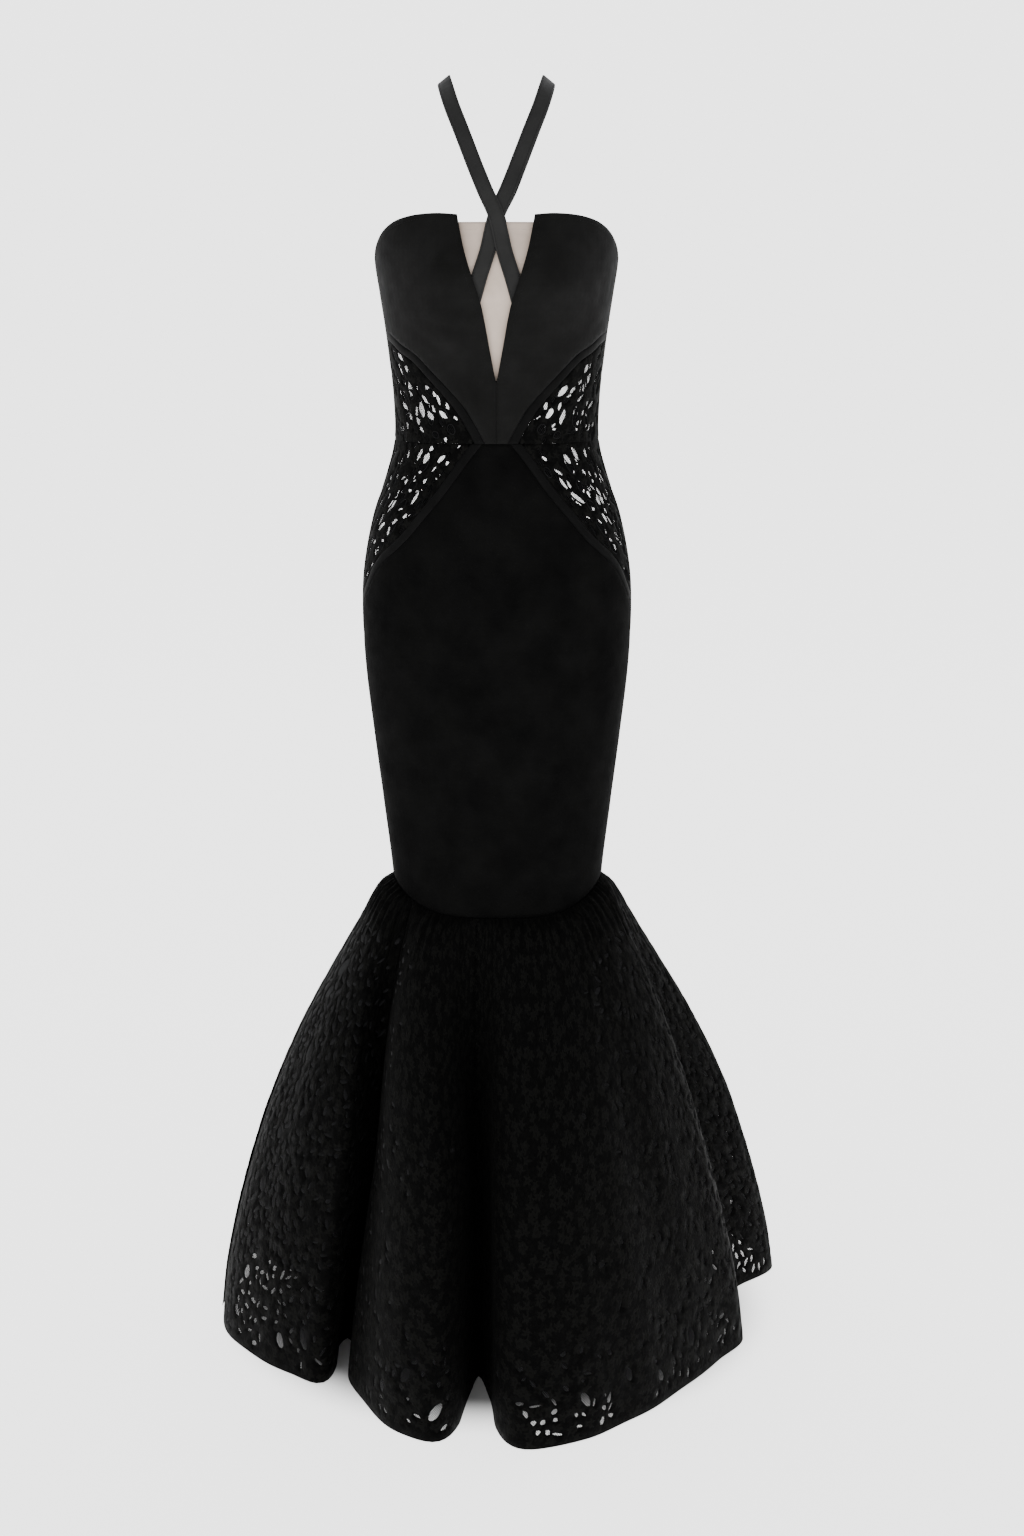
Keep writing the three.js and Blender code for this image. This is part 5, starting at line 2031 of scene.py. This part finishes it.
    def point(self, fold: Array, down: Array) -> Array:
        """Points of the flare.

        Args:
            fold: place counted in fold lines.
            down: millimetres below the knee seam.

        Returns:
            The points.
        """
        cut = self.cut
        degrees, hang = self.seam_angle(fold)
        seam = np.radians(degrees)
        start = cut.body.point(seam, np.full_like(seam, cut.knee_z))
        start[..., 2] = cut.knee(seam * cut.body.radius) - 0.35
        fall = down / self.height
        out = self.sections.read(down, 1)
        grown = out + (fall - out) * hang
        formed = (1 - (1 - np.minimum(1, fall / self.form)) ** 1.5)[..., None]
        relaxed = np.stack([np.sin(seam), -np.cos(seam), np.zeros_like(seam)], axis=-1) * self.relaxed
        target = relaxed + (self.hem.at(np.mod(fold, len(self.rows))) - relaxed) * formed
        point = start + (target - start) * grown[..., None]
        point[..., 2] = start[..., 2] + (cut.hem_z - start[..., 2]) * fall
        return point

    def surface(self, places: Array) -> tuple[Array, Array]:
        """Points and outward directions at places along the hem and up from it.

        Args:
            places: rows of millimetres along the hem, and of height, 0 at the knee seam.

        Returns:
            The points and the directions.
        """
        fold, down = self.fold_at(places[:, 0]), -places[:, 1]
        round_it = self.point(fold + 0.04, down) - self.point(fold - 0.04, down)
        high, low = np.maximum(0, down - 1), np.minimum(self.height, down + 1)
        up = self.point(fold, high) - self.point(fold, low)
        return self.point(fold, down), unit(np.cross(round_it, up))

    def drape(self, places: Array) -> Array:
        """Height of the gathers under the seam and of the small uneven waves further down.

        Args:
            places: places along the hem and up from it.

        Returns:
            Heights in millimetres.
        """
        fold, down = self.fold_at(places[:, 0]), -places[:, 1]
        arc = np.radians(self.seam_angle(fold)[0]) * self.cut.body.radius
        jitter = 2.2 * np.sin(arc / 23.0) + 1.3 * np.sin(arc / 8.3 + 1.0)
        begun = smoothstep(down, 0, 16)
        ends = 52 + 18 * np.sin(arc / 11.0)
        gathers = np.cos(arc / self.gather_pitch * 2 * math.pi + jitter)
        gathers = gathers * self.gather_tall * (0.25 + 0.75 * begun) * np.exp(-((down / ends) ** 2))
        full = smoothstep(down, 60, 260)
        waves = np.sin(places[:, 0] / 31.0 + np.sin(down / 130.0) * 1.2) * 1.5
        waves += np.sin(places[:, 0] / 17.0 - down / 210.0) * 0.8
        return gathers + waves * full

    def cut_gaps(self, first: int, last: int) -> list[tuple[Array, Gap, int]]:
        """The large gaps between two fold lines, as in the solids.

        Args:
            first: first fold line.
            last: last fold line.

        Returns:
            Fine outlines with their gaps and numbers.
        """
        found = []
        zones = [zone for zone in self.zones if zone[0] >= first and zone[1] <= last]
        for z, (start, end, top, bottom, along, across) in enumerate(zones):
            for k in range(int(along)):
                for m in range(int(across)):
                    number = 100 * (first + z + 1) + 10 * k + m
                    shift = 0.5 + 0.3 * (scatter(number, 1) - 0.5)
                    fold = start + (end - start) * (m + shift) / across
                    drop = 0.5 + 0.4 * (scatter(number, 2) - 0.5) + (0.12 if m % 2 == 0 else -0.12)
                    down = top + (bottom - top) * (k + drop) / along
                    long = self.gap_long * (0.8 + 0.5 * scatter(number, 3))
                    wide = self.gap_wide * (0.8 + 0.4 * scatter(number, 4))
                    gap = Gap(0, 0, long, wide, 80 * (scatter(number, 5) - 0.5))
                    found.append((self.on_plane(gap.outline(number, 20), fold, down), gap, number))
        return found

    def on_plane(self, outline: Array, fold: float, down: float) -> Array:
        """Moves an outline in real millimetres to the plane that the lace is cut in.

        Args:
            outline: the outline, about its middle.
            fold: fold place of its middle.
            down: millimetres from the knee seam to its middle.

        Returns:
            The outline in the plane.
        """
        pair = self.point(np.array([fold - self.reach, fold + self.reach]), np.array([down, down]))
        stretch = np.linalg.norm(pair[1] - pair[0]) / (2 * self.reach)
        folds = fold + outline[:, 0] / stretch
        along = np.interp(folds, self.folds, self.run)
        return np.column_stack([along, -down + outline[:, 1]])

    def small_gaps(self, first: int, last: int, kept: list[Array], border: Array) -> list[Array]:
        """Small gaps in the lace below the lining and down the sides.

        Args:
            first: first fold line.
            last: last fold line.
            kept: outlines that are there already.
            border: outline of the gore.

        Returns:
            Outlines.
        """
        found: list[Array] = []
        low, high = self.along_at(first), self.along_at(last)
        edge = self.small_edge
        for j, down in enumerate(np.arange(50, self.height - edge, self.small_rows)):
            for i, along in enumerate(np.arange(low + edge, high - edge, self.small_columns)):
                a, b, c, d = (float(scatter(first * 11 + i * 5.7 + k, j * 3.3)) for k in range(4))
                fold = float(self.fold_at(along + (a - 0.5) * 8))
                degrees = float(self.seam_angle(np.array([fold]))[0][0])
                sideways = abs(math.sin(math.radians(degrees))) ** 5
                patch = any(start - 0.3 < fold < end + 0.3 for start, end in self.hem_patches)
                low_down = down > self.lining_length + 6
                chance = self.patch_chance if patch else self.hem_chance
                if d > max(chance if low_down else 0.95 * sideways, 0.9 * sideways):
                    continue
                gap = Gap(0, 0, 5 + 9 * b, 2.6 + 3.2 * c, 180 * (a - c))
                outline = self.on_plane(gap.outline(i + 31 * j, 9), fold, down + (b - 0.5) * 7)
                low_corner, high_corner = border.min(axis=0) + 3, border.max(axis=0) - 3
                clear = (outline > low_corner).all() and (outline < high_corner).all()
                if clear and apart(kept, outline, self.small_bridge):
                    kept.append(outline)
                    found.append(outline)
        return found

    def gore_border(self, first: int, last: int, top: float, bottom: float) -> Array:
        """Closed outline of a gore in the plane of the hem line.

        Args:
            first: first fold line.
            last: last fold line.
            top: millimetres from the knee seam to its upper edge.
            bottom: millimetres from the knee seam to its lower edge.

        Returns:
            The outline.
        """
        low, high = self.along_at(first) + 0.01, self.along_at(last) - 0.01
        return np.array([[low, -top], [high, -top], [high, -bottom], [low, -bottom]])

    def lining_surface(self, places: Array) -> tuple[Array, Array]:
        """Points of the lining, inside the lace and further in at the sides.

        Args:
            places: places along the hem and up from it.

        Returns:
            The points and outward directions.
        """
        points, out = self.surface(places)
        degrees = np.radians(self.seam_angle(self.fold_at(places[:, 0]))[0])
        begun = smoothstep(-places[:, 1], 0, 70)
        sideways = np.abs(np.sin(degrees)) ** 6 * self.lining_side_inset
        inset = self.lining_inset * (0.65 + 0.35 * begun) + sideways * begun
        return points - out * inset[:, None], out

    def build(self) -> None:
        """Makes the gores of the lace and of the lining."""
        for name, first, last in self.gores:
            border = self.gore_border(first, last, 0, self.height)
            large = self.cut_gaps(first, last)
            kept = [outline for outline, _, _ in large]
            small = self.small_gaps(first, last, list(kept), border)
            holes = kept + small
            cloth = Cloth(
                f"flare_lace_cloth_{name}", border, self.surface, self.thick, holes=holes, step=8.5,
                edge_step=8, relief=self.drape,
            )
            net = Threads(f"flare_net_{name}", self.net.width)

            def draped(at: Array) -> tuple[Array, Array]:
                """Surface with its gathers and waves."""
                points, out = self.surface(at)
                return points + out * self.drape(at)[:, None], out

            self.net.lay(net, holes, draped, self.thick * 0.6)
            netting = net.build()
            self.wardrobe.dress(netting, THREAD, None)
            seam = np.column_stack([
                np.full(80, self.along_at(last)), -np.linspace(4, self.height - 3, 80)
            ])
            seam[:, 0] = np.minimum(seam[:, 0], self.run[-1] - 3.2)
            tape = seam_tape(f"flare_tape_{name}", seam, draped, self.thick + 0.4)
            self.wardrobe.dress(tape, BAND, None)
            node = f"flare_lace_{name}"
            self.wardrobe.sew(cloth, node, LACE_FLARE, Slot.LACE, Held.GATHERED, (netting, tape))
            inner = Cloth(
                f"flare_lining_cloth_{name}",
                self.gore_border(first, last, 2, self.lining_length), self.lining_surface, self.thick,
                step=11, edge_step=9, relief=lambda at: 0.7 * self.drape(at), hem=12,
            )
            self.wardrobe.sew(inner, f"flare_lining_{name}", LINING, Slot.LINING, Held.GATHERED)


@dataclass(frozen=True)
class Studio:
    """Plain pale floor that glows evenly, with painted shade on it under and just round the hem, soft light
    and the camera, in metres; the backdrop's sizes are in millimetres.
    """

    floor_z: float = -1.512
    pale: float = 0.5
    glow: float = 2.4
    # Painted shadow: within this distance of the gown's middle the floor's glow is zero, and it rises to full
    # over the ramp, so the floor under and just round the hem is painted dark as shade.
    painted_shade_reach: float = 0.26
    painted_shade_ramp: float = 0.1
    daylight: float = 0.95
    wall_y: float = 4000
    bend: float = 4000
    front_y: float = -9000
    reach: float = 14000
    lamps: tuple[tuple[str, tuple[float, float, float], float, float], ...] = (
        ("key", (-1.6, -2.4, 1.3), 2.2, 26), ("fill", (2.2, -2.0, 0.4), 2.4, 9),
        ("rim", (0.6, 2.4, 1.4), 1.8, 14),
    )
    aim: tuple[float, float, float] = (0, 0, -0.75)
    camera_place: tuple[float, float, float] = (0.018, -2.75, -0.215)
    pitch: float = 12.2
    lens: float = 53.9

    def build(self) -> None:
        """Makes the floor with its painted shade round the gown, the lights and the camera."""
        backdrop = self.sweep()
        graph = Graph("backdrop", Roughness=0.95, Specular_IOR_Level=0.0)
        graph.colour(graph.noise(2), (self.pale - 0.01,) * 3, (self.pale + 0.01,) * 3)
        graph.shader.inputs["Emission Color"].default_value = (1.0, 1.0, 1.0, 1.0)
        away = graph.add("VectorMath", operation="LENGTH")
        flat = graph.add("VectorMath", operation="MULTIPLY")
        graph.tree.links.new(graph.add("TexCoord").outputs["Object"], flat.inputs[0])
        flat.inputs[1].default_value = (1.0, 1.0, 0.0)
        graph.tree.links.new(flat.outputs[0], away.inputs[0])
        # Emission strength with painted shadow: zero on the floor inside and just round the hem, full further
        # out.
        glow = graph.add(
            "MapRange", interpolation_type="SMOOTHSTEP", Value=away.outputs["Value"],
            From_Min=self.painted_shade_reach, From_Max=self.painted_shade_reach + self.painted_shade_ramp, To_Min=0.0, To_Max=self.glow,
        )
        graph.set("Emission Strength", glow.outputs["Result"])
        backdrop.data.materials.append(graph.material)
        world = bpy.data.worlds.new("studio")
        world.use_nodes = True
        world.node_tree.nodes["Background"].inputs["Color"].default_value = (*(self.daylight,) * 3, 1)
        bpy.context.scene.world = world
        for lamp in self.lamps:
            self.light(*lamp)
        self.camera()

    def sweep(self) -> bpy.types.Object:
        """Makes the floor, which curves up into a wall far behind.

        Returns:
            The object.
        """
        turns = np.radians(np.linspace(0, 90, 24))
        line = [(self.front_y, 0.0)]
        line += [(self.wall_y + self.bend * math.sin(t), self.bend * (1 - math.cos(t))) for t in turns]
        line += [(self.wall_y + self.bend, self.reach)]
        points = [(x, y, z + self.floor_z / MM) for x in (-self.reach, self.reach) for y, z in line]
        n = len(line)
        faces = [(j, j + n, j + n + 1, j + 1) for j in range(n - 1)]
        return make_object("backdrop", np.array(points), faces)

    def light(self, name: str, place: tuple[float, float, float], size: float, power: float) -> None:
        """Makes a soft light that faces the gown.

        Args:
            name: name of the light.
            place: where it stands.
            size: its width.
            power: its power in watts.
        """
        data = bpy.data.lights.new(name, "AREA")
        data.size, data.energy = size, power
        lamp = bpy.data.objects.new(name, data)
        lamp.location = place
        aim = Vector(self.aim) - Vector(place)
        lamp.rotation_euler = aim.to_track_quat("-Z", "Y").to_euler()
        bpy.context.scene.collection.objects.link(lamp)

    def camera(self) -> None:
        """Places the camera where the photograph was taken from."""
        data = bpy.data.cameras.new("camera")
        data.sensor_fit, data.sensor_height, data.lens = "VERTICAL", 36, self.lens
        camera = bpy.data.objects.new("camera", data)
        camera.location = self.camera_place
        camera.rotation_euler = (math.radians(90 - self.pitch), 0, 0)
        bpy.context.scene.collection.objects.link(camera)
        bpy.context.scene.camera = camera


def main() -> None:
    """Builds the gown's looks in order."""
    logging.basicConfig(level=logging.INFO, format="%(relativeCreated)6d ms %(message)s")
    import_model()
    cut, wardrobe = Cut(), Wardrobe()
    for part in (
        Bodice(cut, wardrobe), Insets(cut, wardrobe), Skirt(cut, wardrobe), Straps(cut, wardrobe),
        NudeMesh(cut, wardrobe), Flare(cut, wardrobe),
    ):
        part.build()
        log.info("%s is built", type(part).__name__)
    Studio().build()


if __name__ == "__main__":
    main()
